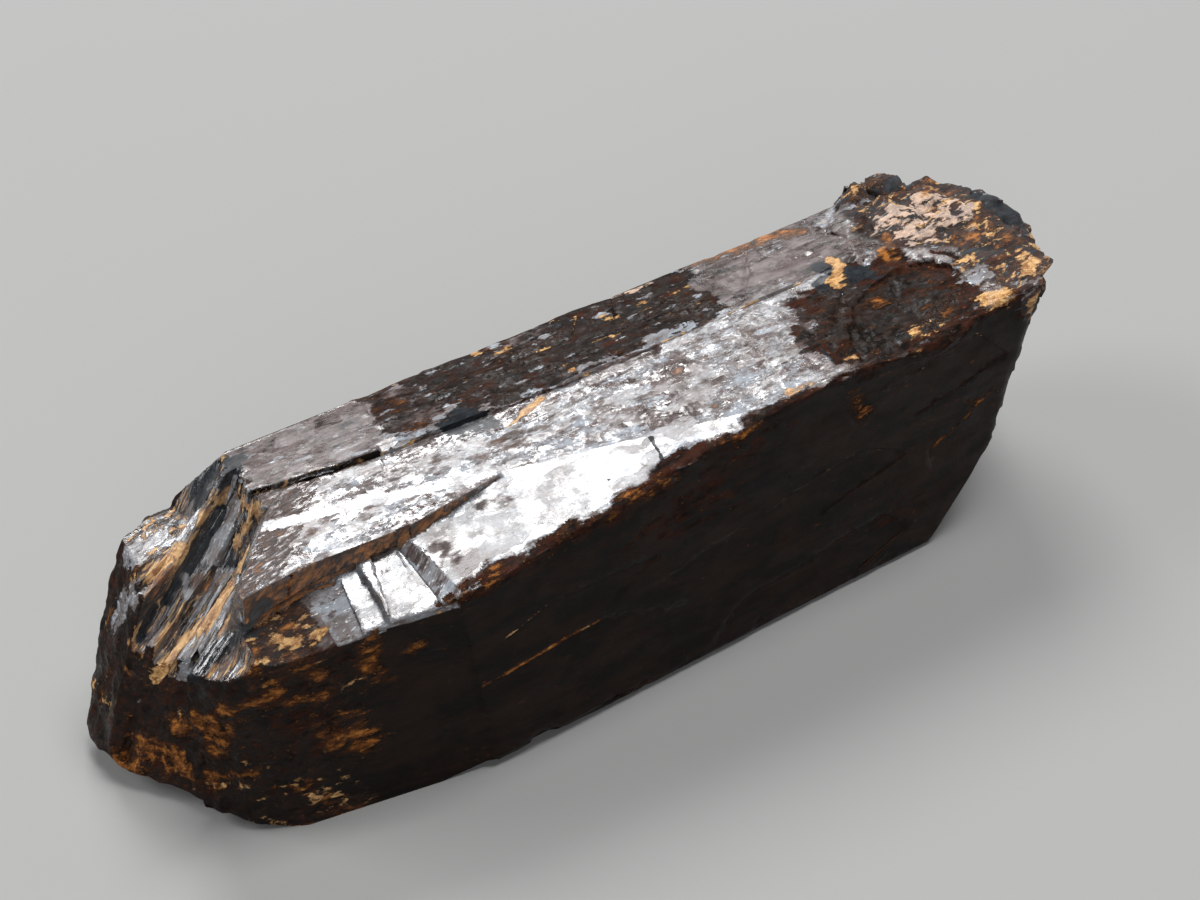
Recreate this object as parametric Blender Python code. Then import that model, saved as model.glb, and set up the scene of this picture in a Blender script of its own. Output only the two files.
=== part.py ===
"""A loose xenotime crystal: a stout, nearly square prism about 28 mm long, lying on one prism face.

Everything is written in millimetres from the near end's foot: x runs along the crystal from its broken
end to its far end, y from the front prism face to the back one, z up from the face that it lies on.
The meshes are in millimetres too, because the Boolean solver leaves gaps in shapes that measure a few
thousandths of a unit. Their parent, rest_frame, scales them to metres and moves the middle of the base
to the origin.

The body is a block cut by flat crystal faces. Cleavage has then split it along sheets that stand upright
and along its length: the broken end is a flight of such sheets, a slab of the top stands over a notch in
the front edge, and shallow terraces run along every prism face. Grains of crust are fused to the far end.
"""

import random
from math import radians

import bmesh
import bpy
from mathutils import Euler, Matrix, Vector

MM = 0.001
SNAP = 0.0005
MERGE = 0.008
SEED = 4729

# ---------------------------------------------------------------- driving dimensions, in mm

LENGTH = 27.6
BACK_Y = 6.6
TOP_Z = 7.5

# The front face, y = setback + along * x + up * z.
FRONT_FACE = {"setback": -0.73, "along": 0.02, "up": 0.06}

# The three long facets that make the top, each z = height + along * x + across * y.
BRIGHT_FACET = {"height": 4.98, "along": 0.11, "across": 0.45}
MIDDLE_FACET = {"height": 6.60, "along": 0.014, "across": 0.06}
BACK_FACET = {"height": 7.50, "along": 0.004, "across": -0.12}

# The crease where the back facet stands above the middle one, and the front edge of the slab that stands
# over the notch, as (x, y) points along each.
CREASE = ((-2.0, 5.24), (4.50, 4.20), (7.50, 3.72), (12.0, 3.50), (30.0, 3.50))
SLAB_EDGE = ((-2.0, 1.45), (2.62, 1.45), (4.35, 1.58), (6.80, 1.42), (9.40, 1.72))
BRIGHT_REACH = ((9.40, 1.95), (12.4, 1.60), (18.6, 0.40), (18.6, -2.0), (-2.0, -2.0))
CREASE_CRACK = ((4.3, 4.22), (5.9, 3.93), (7.7, 3.70))

# Flat faces of the two ends, each a point on it and the way that it faces.
NEAR_END_FACES = (
    ((0.02, 5.0, 0.9), (-0.955, 0.0, 0.30)),
    ((0.65, 5.8, 3.0), (-0.90, 0.05, 0.43)),
    ((1.86, 1.07, 0.0), (-0.80, -0.60, 0.02)),
    ((5.6, -0.02, 0.0), (-0.18, -0.98, 0.035)),
    ((2.2, 0.90, 0.0), (-0.45, -0.89, 0.02)),
    ((2.4, 3.0, 0.0), (-0.27, -0.05, -0.96)),
    ((0.9, 6.0, 3.0), (-0.45, 0.89, 0.10)),
)
FAR_END_FACES = (
    ((21.3, -0.2, 0.0), (0.765, -0.10, -0.64)),
    ((23.6, -0.10, 4.0), (0.56, -0.82, -0.12)),
    ((26.6, 2.3, 5.4), (0.84, -0.54, 0.06)),
    ((27.5, 4.0, 5.0), (0.96, -0.10, 0.26)),
    ((27.2, 5.6, 4.6), (0.72, 0.69, 0.08)),
    ((25.4, 6.2, 2.2), (0.62, 0.60, -0.50)),
    ((24.7, 6.0, 6.75), (0.42, 0.50, 0.76)),
    ((25.9, 3.6, 6.85), (0.42, -0.06, 0.90)),
)

# The sheets that the broken end split into. They stand upright and run nearly along the crystal, turned
# by SHEET_TURN degrees. Each has a start and an end across the sheets, and the (along, height) line of
# the sloping top that is left on it.
SHEET_TURN = 14.0
SHEET_OVERLAP = 0.012
END_SHEETS = (
    (4.52, 8.00, ((-3.0, 5.25), (4.72, 5.36), (6.45, 7.60))),
    (4.34, 4.52, ((-3.0, 4.90), (2.4, 5.00), (4.60, 5.60), (6.25, 7.60))),
    (4.20, 4.34, ((-3.0, 4.20), (1.0, 4.30), (3.3, 5.05), (5.3, 6.55), (6.1, 7.60))),
    (4.03, 4.20, ((-3.0, 4.30), (1.3, 4.45), (3.6, 5.30), (6.05, 7.60))),
    (3.77, 4.03, ((-3.0, 3.00), (0.8, 3.10), (2.7, 3.95), (5.05, 5.95), (6.1, 7.60))),
    (3.48, 3.77, ((-3.0, 2.40), (0.6, 3.05), (2.9, 4.25), (4.3, 5.30), (5.35, 6.35), (5.62, 7.60))),
    (3.31, 3.48, ((-3.0, 2.40), (0.7, 2.85), (2.6, 3.70), (4.2, 4.85), (5.35, 6.05), (5.62, 7.60))),
    (3.05, 3.31, ((-3.0, 2.40), (1.0, 2.95), (3.0, 3.95), (4.5, 5.10), (5.52, 7.60))),
    (2.92, 3.05, ((-3.0, 2.40), (1.0, 2.80), (3.0, 3.60), (4.4, 4.65), (5.46, 7.60))),
    (2.60, 2.92, ((-3.0, 2.40), (1.3, 3.05), (2.9, 4.10), (4.3, 5.15), (5.1, 6.20), (5.40, 7.60))),
    (2.48, 2.60, ((-3.0, 2.40), (1.4, 2.95), (2.9, 3.80), (4.2, 4.90), (5.30, 7.60))),
    (2.26, 2.48, ((-3.0, 2.40), (1.8, 3.35), (2.9, 4.25), (4.1, 5.30), (4.9, 6.5), (5.10, 7.60))),
    (2.15, 2.26, ((-3.0, 3.00), (1.9, 3.50), (3.0, 4.10), (4.2, 5.00), (4.95, 7.60))),
    (1.78, 2.15, ((-3.0, 3.40), (2.2, 3.90), (3.3, 4.75), (3.9, 5.60), (4.45, 7.60))),
    (1.58, 1.78, ((-3.0, 3.60), (2.3, 3.80), (3.6, 4.60), (4.10, 7.60))),
    (1.16, 1.58, ((-3.0, 4.00), (1.3, 4.40), (1.85, 4.75), (2.9, 5.50), (3.2, 5.95), (3.45, 7.60))),
    (0.30, 1.16, ((-3.0, 4.20), (1.5, 4.60), (2.1, 4.80), (2.6, 5.10), (2.9, 5.60), (3.02, 7.60))),
)

# The face that the near end has split along, behind the sheets that still stand: a point on it, the way
# that it faces, and its (across the sheets, up) corners.
SPLIT_FACE = ((0.0, 4.2, 0.6), (-0.80, -0.53, 0.28))
SPLIT_OUTLINE = ((1.58, -0.1), (1.58, 4.6), (2.2, 6.2), (4.0, 8.0), (8.2, 8.0), (8.2, -0.1))
SPLIT_DEPTH = 6.0

# The slanted end of the slab, from its head at the top to its foot: (x, y, z) corners.
SLAB_END = ((2.72, 1.28, 7.30), (4.66, 3.52, 7.30), (3.98, 3.98, 5.70), (2.05, 1.74, 5.70))

# The flight of cleavage steps beside the slab, all parallel to the bright facet: each is its (x, y)
# outline, which runs on under the slab's edge, and how deep it lies below the facet. The last is the
# slope from the facet down to the highest step, as (x, y, z) corners.
NOTCH_STEPS = (
    (((0.5, -1.2), (4.70, -1.2), (5.08, 1.56), (4.35, 1.70), (2.60, 1.60), (0.5, 1.60)), 0.38),
    (((4.50, -1.2), (5.15, -1.2), (5.55, 0.55), (5.50, 1.60), (5.00, 1.62)), 0.30),
    (((5.10, -1.5), (6.76, -1.5), (6.79, -0.11), (6.55, 1.58), (5.86, 1.62), (5.62, 0.45)), 0.24),
)
NOTCH_HEADROOM = 0.03
NOTCH_SLOPE = ((6.68, -0.90, 5.10), (7.46, -0.90, 5.42), (6.86, 1.47, 6.44), (6.48, 1.47, 6.10))
NOTCH_SLOPE_TOP = 7.2

# Terraces: the sunk corners of long, shallow slices gone from a prism face, all on the same side.
FRONT_TERRACES = (
    ((6.0, 1.9), (7.4, 2.74), (10.9, 3.05), (13.5, 2.2), (8.0, 0.8), 0.10),
    ((7.6, 3.6), (9.6, 4.35), (12.6, 4.2), (11.0, 3.3), (8.0, 3.2), 0.06),
    ((12.8, 3.3), (18.9, 4.4), (20.5, 3.5), (16.0, 2.6), (13.5, 2.6), 0.07),
    ((15.0, 1.4), (19.8, 1.9), (20.6, 1.0), (17.0, -0.4), (14.0, 0.2), 0.09),
    ((21.2, 3.2), (23.4, 4.2), (24.6, 3.2), (23.0, 1.6), (21.4, 2.4), 0.08),
    ((18.4, 5.6), (22.6, 6.3), (23.8, 5.2), (20.5, 4.6), (18.8, 4.9), 0.07),
)
BACK_TERRACES = (
    ((3.0, 3.6), (11.5, 4.6), (14.2, 3.9), (9.0, 2.6), (3.6, 2.7), 0.12),
    ((12.0, 2.4), (21.5, 3.3), (23.0, 2.2), (17.0, 1.2), (12.6, 1.5), 0.15),
    ((15.0, 5.2), (23.6, 5.6), (24.4, 4.5), (18.5, 4.1), (15.6, 4.5), 0.10),
    ((2.4, 1.9), (8.5, 2.3), (10.5, 1.5), (6.0, 1.0), (2.6, 1.2), 0.10),
)
TOP_TERRACES = (
    ((7.9, 5.2), (13.6, 5.0), (15.2, 6.9), (8.4, 7.0), 0.07),
    ((14.6, 4.5), (18.4, 4.2), (20.4, 7.0), (16.0, 7.0), 0.10),
    ((19.6, 5.0), (22.6, 4.8), (23.4, 7.0), (20.2, 7.0), 0.13),
    ((9.6, 2.4), (12.2, 2.9), (12.0, 1.9), (10.4, 1.7), 0.04),
    ((15.0, 2.9), (17.8, 3.2), (18.6, 2.2), (16.0, 2.0), 0.05),
)

# The smooth scoop near the far end of the top, as bites: (centre, size, turn in degrees).
PIT = (
    ((21.1, 1.50, 7.26), (2.50, 1.34, 0.95), (4.0, -3.0, 24.0)),
    ((22.6, 1.75, 7.20), (1.05, 1.15, 0.72), (-8.0, 6.0, 15.0)),
    ((19.6, 0.90, 7.16), (1.05, 0.95, 0.55), (6.0, -4.0, 10.0)),
    ((6.05, -0.32, 5.30), (0.56, 0.36, 0.26), (0.0, 12.0, 12.0)),
)

# Grains of crust fused to the far end: (centre, size). Each has a few smaller ones round it.
CRUST_ROUGHNESS = 0.20
CRUST_SATELLITES = 2
CRUST = (
    ((23.2, 5.85, 6.74), (0.80, 0.50, 0.52)),
    ((24.3, 5.75, 6.76), (0.75, 0.55, 0.50)),
    ((25.2, 5.25, 6.55), (0.65, 0.62, 0.48)),
    ((22.5, 4.90, 6.93), (0.85, 0.70, 0.36)),
    ((23.4, 4.30, 6.95), (0.98, 0.85, 0.42)),
    ((24.4, 4.70, 6.86), (0.80, 0.80, 0.46)),
    ((24.6, 3.65, 6.80), (0.75, 0.72, 0.44)),
    ((25.5, 4.45, 6.50), (0.72, 0.70, 0.50)),
    ((26.1, 3.50, 6.20), (0.88, 0.85, 0.74)),
    ((26.5, 4.35, 5.75), (0.78, 0.85, 0.78)),
    ((25.7, 2.40, 6.20), (0.74, 0.72, 0.66)),
    ((25.3, 1.45, 6.10), (0.66, 0.62, 0.66)),
    ((24.3, 1.15, 6.62), (0.66, 0.60, 0.38)),
    ((23.9, 2.45, 6.82), (0.55, 0.62, 0.32)),
    ((21.0, 3.60, 6.98), (0.62, 0.38, 0.22)),
    ((21.1, 0.62, 6.72), (0.44, 0.38, 0.26)),
)

# Edges with chips along them: start, end, which way is out, how many, and the smallest and largest chip.
CHIPPED_EDGES = (
    ((7.4, -0.28, 5.72), (17.0, 0.02, 6.80), (0.0, -0.7, 0.7), 9, 0.10, 0.20),
    ((17.4, 0.02, 6.80), (24.6, 0.18, 6.93), (0.0, -0.6, 0.8), 8, 0.14, 0.34),
    ((5.6, 6.42, 6.72), (24.4, 6.35, 6.76), (0.0, 0.6, 0.8), 14, 0.14, 0.34),
    ((6.0, 6.60, 5.40), (25.6, 6.60, 5.20), (0.0, 1.0, 0.3), 8, 0.14, 0.30),
    ((8.6, -0.50, 0.30), (20.4, -0.32, 0.30), (0.0, -0.8, -0.4), 8, 0.14, 0.32),
    ((2.6, 6.05, 0.20), (22.0, 6.10, 0.20), (0.0, 0.9, -0.3), 8, 0.20, 0.40),
    ((24.6, 0.4, 3.60), (26.7, 3.4, 4.60), (0.9, -0.2, -0.4), 6, 0.24, 0.50),
    ((27.1, 3.6, 5.00), (26.6, 6.0, 5.00), (0.9, 0.3, 0.3), 5, 0.24, 0.46),
    ((0.20, 4.1, 0.70), (0.95, 3.9, 2.90), (-0.9, -0.4, 0.2), 5, 0.12, 0.26),
    ((0.3, 6.0, 1.20), (1.6, 6.2, 4.80), (-0.7, 0.6, 0.2), 5, 0.14, 0.30),
)

DARK_BROWN = (0.035, 0.017, 0.010, 1.0)


# ---------------------------------------------------------------- solids made of flat faces


def cut(bm, point, outward):
    """Cuts a convex solid by the plane through point, drops what is on the outward side and caps the cut."""
    found = bmesh.ops.bisect_plane(
        bm,
        geom=bm.verts[:] + bm.edges[:] + bm.faces[:],
        dist=SNAP,
        plane_co=point,
        plane_no=Vector(outward).normalized(),
        clear_outer=True,
    )
    rim = [item for item in found["geom_cut"] if isinstance(item, bmesh.types.BMEdge)]
    if rim:
        bmesh.ops.edgeloop_fill(bm, edges=rim)


def block(low, high):
    """A box between two corners."""
    bm = bmesh.new()
    bmesh.ops.create_cube(bm, size=1.0)
    size = [b - a for a, b in zip(low, high)]
    middle = [(a + b) / 2 for a, b in zip(low, high)]
    bmesh.ops.scale(bm, verts=bm.verts, vec=size)
    bmesh.ops.translate(bm, verts=bm.verts, vec=middle)
    return bm


def hull(points):
    """The convex solid around some points."""
    bm = bmesh.new()
    for point in points:
        bm.verts.new(point)
    made = bmesh.ops.convex_hull(bm, input=bm.verts)
    inner = [v for v in made["geom_interior"] if isinstance(v, bmesh.types.BMVert)]
    bmesh.ops.delete(bm, geom=inner, context="VERTS")
    bmesh.ops.recalc_face_normals(bm, faces=bm.faces)
    return bm


def slice_over(corners, outward):
    """What a terrace has lost: everything from its sunk corners outwards."""
    return hull(list(corners) + [tuple(c + o for c, o in zip(corner, outward)) for corner in corners])


def turned(degrees):
    return Euler([radians(angle) for angle in degrees]).to_matrix()


def blob(centre, size, turn, detail, rough=0.0, rng=None):
    """A faceted ball, stretched to size, roughened and turned."""
    bm = bmesh.new()
    bmesh.ops.create_icosphere(bm, subdivisions=detail, radius=1.0)
    if rough:
        for vert in bm.verts:
            vert.co *= rng.uniform(1.0 - rough, 1.0 + rough)
    bmesh.ops.scale(bm, verts=bm.verts, vec=size)
    bmesh.ops.rotate(bm, verts=bm.verts, matrix=turn)
    bmesh.ops.translate(bm, verts=bm.verts, vec=centre)
    return bm


def facet_height(facet, x, y):
    return facet["height"] + facet["along"] * x + facet["across"] * y


def facet_normal(facet):
    return (-facet["along"], -facet["across"], 1.0)


def front_y(x, z):
    return FRONT_FACE["setback"] + FRONT_FACE["along"] * x + FRONT_FACE["up"] * z


def top_z(x, y):
    """The height of the top over (x, y): the lowest of the bright and middle facets, or the back one."""
    if y > CREASE[-1][1] + 0.3:
        return facet_height(BACK_FACET, x, y)
    return min(facet_height(BRIGHT_FACET, x, y), facet_height(MIDDLE_FACET, x, y))


# ---------------------------------------------------------------- objects


def add_object(name, bm, collection, parent):
    bmesh.ops.triangulate(bm, faces=bm.faces)
    mesh = bpy.data.meshes.new(name)
    bm.to_mesh(mesh)
    bm.free()
    obj = bpy.data.objects.new(name, mesh)
    collection.objects.link(obj)
    obj.parent = parent
    return obj


def combine(target, operation, solids, name):
    """Joins or cuts target by a group of solids. They are helpers, and aren't part of the model itself."""
    group = bpy.data.collections.new(name)
    bpy.context.scene.collection.children.link(group)
    for number, bm in enumerate(solids, 1):
        helper = add_object(f"{name}_{number:03d}", bm, group, target.parent)
        helper.hide_render = True
        helper.display_type = "WIRE"
    modifier = target.modifiers.new(name, "BOOLEAN")
    modifier.operation = operation
    modifier.solver = "EXACT"
    modifier.operand_type = "COLLECTION"
    modifier.collection = group


# ---------------------------------------------------------------- the body


def cut_sides(bm):
    """The front face, the bevels of the long edges and the flat faces of both ends."""
    cut(bm, (0.0, front_y(0.0, 0.0), 0.0), (FRONT_FACE["along"], -1.0, FRONT_FACE["up"]))
    cut(bm, (14.0, -0.45, 0.30), (0.0, -0.72, -0.69))
    cut(bm, (0.0, BACK_Y, 5.6), (0.0, 0.80, 0.40))
    cut(bm, (0.0, BACK_Y, 0.9), (0.05, 0.80, -0.60))
    for point, outward in NEAR_END_FACES + FAR_END_FACES:
        cut(bm, point, outward)


def prism_body():
    """The block under the highest of the top facets, which is the back one."""
    bm = block((-1.0, -2.0, 0.0), (LENGTH + 1.0, BACK_Y, TOP_Z + 1.0))
    cut(bm, (0.0, 0.0, BACK_FACET["height"]), facet_normal(BACK_FACET))
    cut_sides(bm)
    return bm


def crust_grains(rng):
    """Rough grains over the far end's top corner."""
    grains = []
    for centre, size in CRUST:
        turn = turned((rng.uniform(-15, 15), rng.uniform(-15, 15), rng.uniform(0, 90)))
        grains.append(blob(centre, size, turn, 2, CRUST_ROUGHNESS, rng))
        for _ in range(CRUST_SATELLITES):
            swing = rng.uniform(0, 360)
            share = rng.uniform(0.35, 0.60)
            out = turned((0, 0, swing)) @ Vector((rng.uniform(0.6, 0.9) * size[0], 0.0, 0.0))
            place = Vector(centre) + out + Vector((0.0, 0.0, -0.05))
            small = [length * share for length in size]
            grains.append(blob(place, small, turned((0, 0, -swing)), 1, CRUST_ROUGHNESS, rng))
    return grains


# ---------------------------------------------------------------- what is gone from it


def loft(first, second):
    """The solid between two outlines with as many points each."""
    bm = bmesh.new()
    rings = [[bm.verts.new(point) for point in outline] for outline in (first, second)]
    for ring in rings:
        bm.faces.new(ring)
    for i in range(len(first)):
        j = (i + 1) % len(first)
        bm.faces.new((rings[0][j], rings[0][i], rings[1][i], rings[1][j]))
    bmesh.ops.recalc_face_normals(bm, faces=bm.faces)
    return bm


def over_facet(outline, facet):
    """What is missing over a facet of the top, inside an outline seen from above."""
    foot = [(x, y, facet_height(facet, x, y)) for x, y in outline]
    return loft(foot, [(x, y, TOP_Z + 1.0) for x, y in outline])


def top_facet_cutters():
    """The middle facet in front of the crease, and the bright one in front of that and of the slab."""
    middle = list(CREASE) + [(30.0, -2.0), (-2.0, -2.0)]
    bright = list(SLAB_EDGE) + list(BRIGHT_REACH)
    return [over_facet(middle, MIDDLE_FACET), over_facet(bright, BRIGHT_FACET)]


def sheet_cutter(start, end, line):
    """What is missing above one sheet of the broken end."""
    outline = list(line) + [(line[-1][0], TOP_Z + 2.0), (line[0][0], TOP_Z + 2.0)]
    sides = (start - SHEET_OVERLAP, end + SHEET_OVERLAP)
    bm = loft(*([(u, v, z) for u, z in outline] for v in sides))
    turn = Matrix.Rotation(radians(SHEET_TURN), 3, "Z")
    bmesh.ops.rotate(bm, verts=bm.verts, matrix=turn)
    return bm


def split_face_cutter():
    """What is missing in front of the near end's split face."""
    point, outward = (Vector(item) for item in SPLIT_FACE)
    turn = Matrix.Rotation(radians(SHEET_TURN), 3, "Z")
    along = turn @ Vector((1.0, 0.0, 0.0))
    corners = []
    for across, level in SPLIT_OUTLINE:
        start = turn @ Vector((0.0, across, 0.0)) + Vector((0.0, 0.0, level))
        corners.append(start + along * outward.dot(point - start) / outward.dot(along))
    return slice_over(corners, -SPLIT_DEPTH * along)


def notch_cutters():
    """The flight of cleavage steps beside the slab, and the slope down to them."""
    cuts = []
    for outline, depth in NOTCH_STEPS:
        facet = [(x, y, facet_height(BRIGHT_FACET, x, y)) for x, y in outline]
        foot = [(x, y, z - depth) for x, y, z in facet]
        cuts.append(loft(foot, [(x, y, z + NOTCH_HEADROOM) for x, y, z in facet]))
    cuts.append(hull(list(NOTCH_SLOPE) + [(x, y, NOTCH_SLOPE_TOP) for x, y, _ in NOTCH_SLOPE]))
    return cuts


def crack_cutters():
    """A narrow crack along the near part of the crease."""
    cuts = []
    for (x, y), (x2, y2) in zip(CREASE_CRACK, CREASE_CRACK[1:]):
        foot = [(x, y, 6.62), (x2, y2, 6.62)]
        lips = [(a, b + side, 7.4) for a, b in ((x, y), (x2, y2)) for side in (-0.10, 0.06)]
        cuts.append(hull(foot + lips))
    return cuts


def terrace_cutters():
    """Long, shallow slices off the front, back and top faces, which leave terraces between them."""
    cuts = []
    for *outline, depth in FRONT_TERRACES:
        sunk = [(x, front_y(x, z) + depth * (i < 3), z) for i, (x, z) in enumerate(outline)]
        cuts.append(slice_over(sunk, (0.0, -1.0, 0.0)))
    for *outline, depth in BACK_TERRACES:
        sunk = [(x, BACK_Y - depth * (i < 3), z) for i, (x, z) in enumerate(outline)]
        cuts.append(slice_over(sunk, (0.0, 1.0, 0.0)))
    for *outline, depth in TOP_TERRACES:
        sunk = [(x, y, top_z(x, y) - depth * (i < 2)) for i, (x, y) in enumerate(outline)]
        cuts.append(slice_over(sunk, (0.0, 0.0, 1.0)))
    return cuts


def slab_end_cutter():
    return slice_over(SLAB_END, (-2.3, 2.0, 1.5))


def pit_cutters():
    return [blob(centre, size, turned(turn), 3) for centre, size, turn in PIT]


def edge_chips(rng):
    """Long, shallow scallops out of the long edges and the ends' corners."""
    chips = []
    for start, end, outward, count, small, large in CHIPPED_EDGES:
        start, end, outward = Vector(start), Vector(end), Vector(outward).normalized()
        lie = (end - start).to_track_quat("X", "Z").to_matrix()
        for number in range(count):
            along = (number + rng.uniform(0.1, 0.9)) / count
            size = small + (large - small) * rng.random() ** 2
            centre = start.lerp(end, along) + outward * size * rng.uniform(0.30, 0.60)
            shape = (size * rng.uniform(1.6, 4.2), size * rng.uniform(0.8, 1.2), size)
            turn = lie @ turned((rng.uniform(0, 360), rng.uniform(-9, 9), rng.uniform(-9, 9)))
            chips.append(blob(centre, shape, turn, 1, 0.15, rng))
    return chips


# ---------------------------------------------------------------- assembly


def crystal_material():
    material = bpy.data.materials.new("dark_brown_crystal")
    material.use_nodes = True
    shader = material.node_tree.nodes["Principled BSDF"]
    shader.inputs["Base Color"].default_value = DARK_BROWN
    shader.inputs["Roughness"].default_value = 0.22
    shader.inputs["Metallic"].default_value = 0.0
    shader.inputs["IOR"].default_value = 1.75
    return material


def settle(obj):
    """Applies the Booleans, and merges the corners and slivers of a few microns that they leave."""
    bm = bmesh.new()
    bm.from_object(obj, bpy.context.evaluated_depsgraph_get())
    obj.modifiers.clear()
    bmesh.ops.remove_doubles(bm, verts=bm.verts, dist=MERGE)
    bmesh.ops.dissolve_degenerate(bm, dist=MERGE / 2, edges=bm.edges)
    bmesh.ops.triangulate(bm, faces=bm.faces)
    bmesh.ops.dissolve_degenerate(bm, dist=MERGE / 2, edges=bm.edges)
    bmesh.ops.triangulate(bm, faces=bm.faces)
    bm.to_mesh(obj.data)
    bm.free()


def base_centre(obj):
    """The middle of the base of an object's box, in its parent's frame."""
    corners = [Vector(corner) for corner in obj.bound_box]
    low = Vector(min(c[axis] for c in corners) for axis in range(3))
    high = Vector(max(c[axis] for c in corners) for axis in range(3))
    return Vector(((low.x + high.x) / 2, (low.y + high.y) / 2, low.z))


def main():
    for obj in list(bpy.data.objects):
        bpy.data.objects.remove(obj)
    rng = random.Random(SEED)
    rest_frame = bpy.data.objects.new("rest_frame", None)
    bpy.context.scene.collection.objects.link(rest_frame)
    crystal = add_object("xenotime_crystal", prism_body(), bpy.context.scene.collection, rest_frame)
    crystal.data.materials.append(crystal_material())
    lost = top_facet_cutters() + [sheet_cutter(*sheet) for sheet in END_SHEETS]
    lost += [split_face_cutter(), slab_end_cutter()] + notch_cutters() + crack_cutters() + terrace_cutters()
    combine(crystal, "DIFFERENCE", lost, "cleavage")
    combine(crystal, "UNION", crust_grains(rng), "crust")
    combine(crystal, "DIFFERENCE", pit_cutters() + edge_chips(rng), "bites")
    settle(crystal)
    bpy.context.view_layer.update()
    rest_frame.location = -MM * base_centre(crystal)
    rest_frame.scale = (MM, MM, MM)


main()
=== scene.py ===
"""A loose xenotime crystal on a pale table: its faces, splintered end, stains, crust, finishes and stage.

The solid from the frame is sliced into fine facets, carved and painted. Lengths in the mesh code are in
millimetres from the foot of the splintered end: x runs along the crystal, y from its front face to its back
one, z up. The last number given to each noise, cloud or lump_gap call is its seed.
"""

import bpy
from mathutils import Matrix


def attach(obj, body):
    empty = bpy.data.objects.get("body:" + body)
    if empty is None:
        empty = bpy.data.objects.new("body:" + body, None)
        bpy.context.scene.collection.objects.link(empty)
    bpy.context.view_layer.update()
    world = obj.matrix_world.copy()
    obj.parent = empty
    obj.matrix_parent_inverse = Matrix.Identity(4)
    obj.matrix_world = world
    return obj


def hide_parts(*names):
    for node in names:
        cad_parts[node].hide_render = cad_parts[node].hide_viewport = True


bl_info = {
    "name": "Xenotime Crystal",
    "version": (1, 0, 0),
    "blender": (4, 5, 0),
    "location": "3D View > Sidebar > Crystal",
    "description": "Builds a loose xenotime crystal with its finishes, stage, lights and camera",
    "category": "Add Mesh",
}

from collections import namedtuple
from math import radians
from types import SimpleNamespace

import bmesh
import bpy
import numpy as np
from bpy.props import FloatProperty, FloatVectorProperty, PointerProperty
from mathutils import Matrix, Vector

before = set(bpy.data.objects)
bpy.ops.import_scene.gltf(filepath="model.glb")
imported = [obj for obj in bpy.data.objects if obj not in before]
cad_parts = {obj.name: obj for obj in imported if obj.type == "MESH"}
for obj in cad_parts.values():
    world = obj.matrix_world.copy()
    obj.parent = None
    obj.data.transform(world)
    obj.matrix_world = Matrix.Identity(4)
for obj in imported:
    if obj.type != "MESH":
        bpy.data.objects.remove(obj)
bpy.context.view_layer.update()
NODE = "xenotime_crystal"
BODY = "root"

MM = 0.001
FOOT = Vector((-13.675, -3.0642, 0.0))

# The long facets of the top, each z = height + along * x + across * y.
BRIGHT_FACET = (4.98, 0.11, 0.45)
MIDDLE_FACET = (6.6, 0.014, 0.06)
BACK_FACET = (7.5, 0.004, -0.12)
CREASE = ((-2.0, 5.24), (4.5, 4.2), (7.5, 3.72), (12.0, 3.5), (30.0, 3.5))
SLAB_EDGE = ((-2.0, 1.45), (2.62, 1.45), (4.35, 1.58), (6.8, 1.42), (9.4, 1.72))

# Where along x the notch beside the slab ends, the whole top begins, and the slab ends.
NOTCH_END = 7.1
WHOLE_TOP = 7.4
SLAB_END = 9.6

# How deep the steps beside the slab lie below the bright facet: its dirty floor, its ledge and its plate.
STEPS = (("floor", 0.38), ("ledge", 0.3), ("plate", 0.24))

# The flat faces low on the splintered end: a point on each and the way it faces.
LOW_FACES = (
    ((0.02, 5.0, 0.9), (-0.955, 0.0, 0.3)),
    ((0.65, 5.8, 3.0), (-0.9, 0.05, 0.43)),
    ((0.0, 4.2, 0.6), (-0.8, -0.53, 0.28)),
    ((1.86, 1.07, 0.0), (-0.8, -0.6, 0.02)),
    ((2.2, 0.9, 0.0), (-0.45, -0.89, 0.02)),
    ((5.6, -0.02, 0.0), (-0.18, -0.98, 0.035)),
    ((0.9, 6.0, 3.0), (-0.45, 0.89, 0.1)),
)

# The upright sheets of the splintered end are turned by TURN degrees, and their blades rise by RISE.
TURN = 14.0
RISE = 42.0

# Egg-shaped places, each a centre and its reach along x, y and z.
DULL_SLAB = ((4.9, 2.9, 6.8), (1.9, 1.0, 1.0))
SCOOP = ((21.1, 1.55, 7.1), (2.85, 1.85, 1.6))
SCOOP_BRIM = ((21.1, 1.55, 7.0), (3.6, 2.3, 1.6))
SCAR = ((21.0, 1.55, 6.9), (4.65, 3.15, 3.0))
PALE_CRUST = ((23.7, 4.0, 7.1), (2.3, 1.8, 1.3))
CRUST = (
    ((24.4, 4.6, 6.8), (3.0, 2.6, 1.9)),
    ((26.0, 2.8, 6.2), (1.9, 2.6, 1.9)),
    ((25.2, 1.6, 6.6), (2.1, 2.2, 1.6)),
)

# Edges shorter than this, in millimetres, are closed up.
SLIVER = 0.004

# No mark reaches further than LONGEST_REACH from its line, and what isn't near anything is FAR_OFF away.
LONGEST_REACH = 1.5
FAR_OFF = 9.0

# The masks, from the one laid first to the one that covers all others.
MASKS = ("smoke", "ruby", "silver", "gloom", "stain", "clay", "crust")

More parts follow.
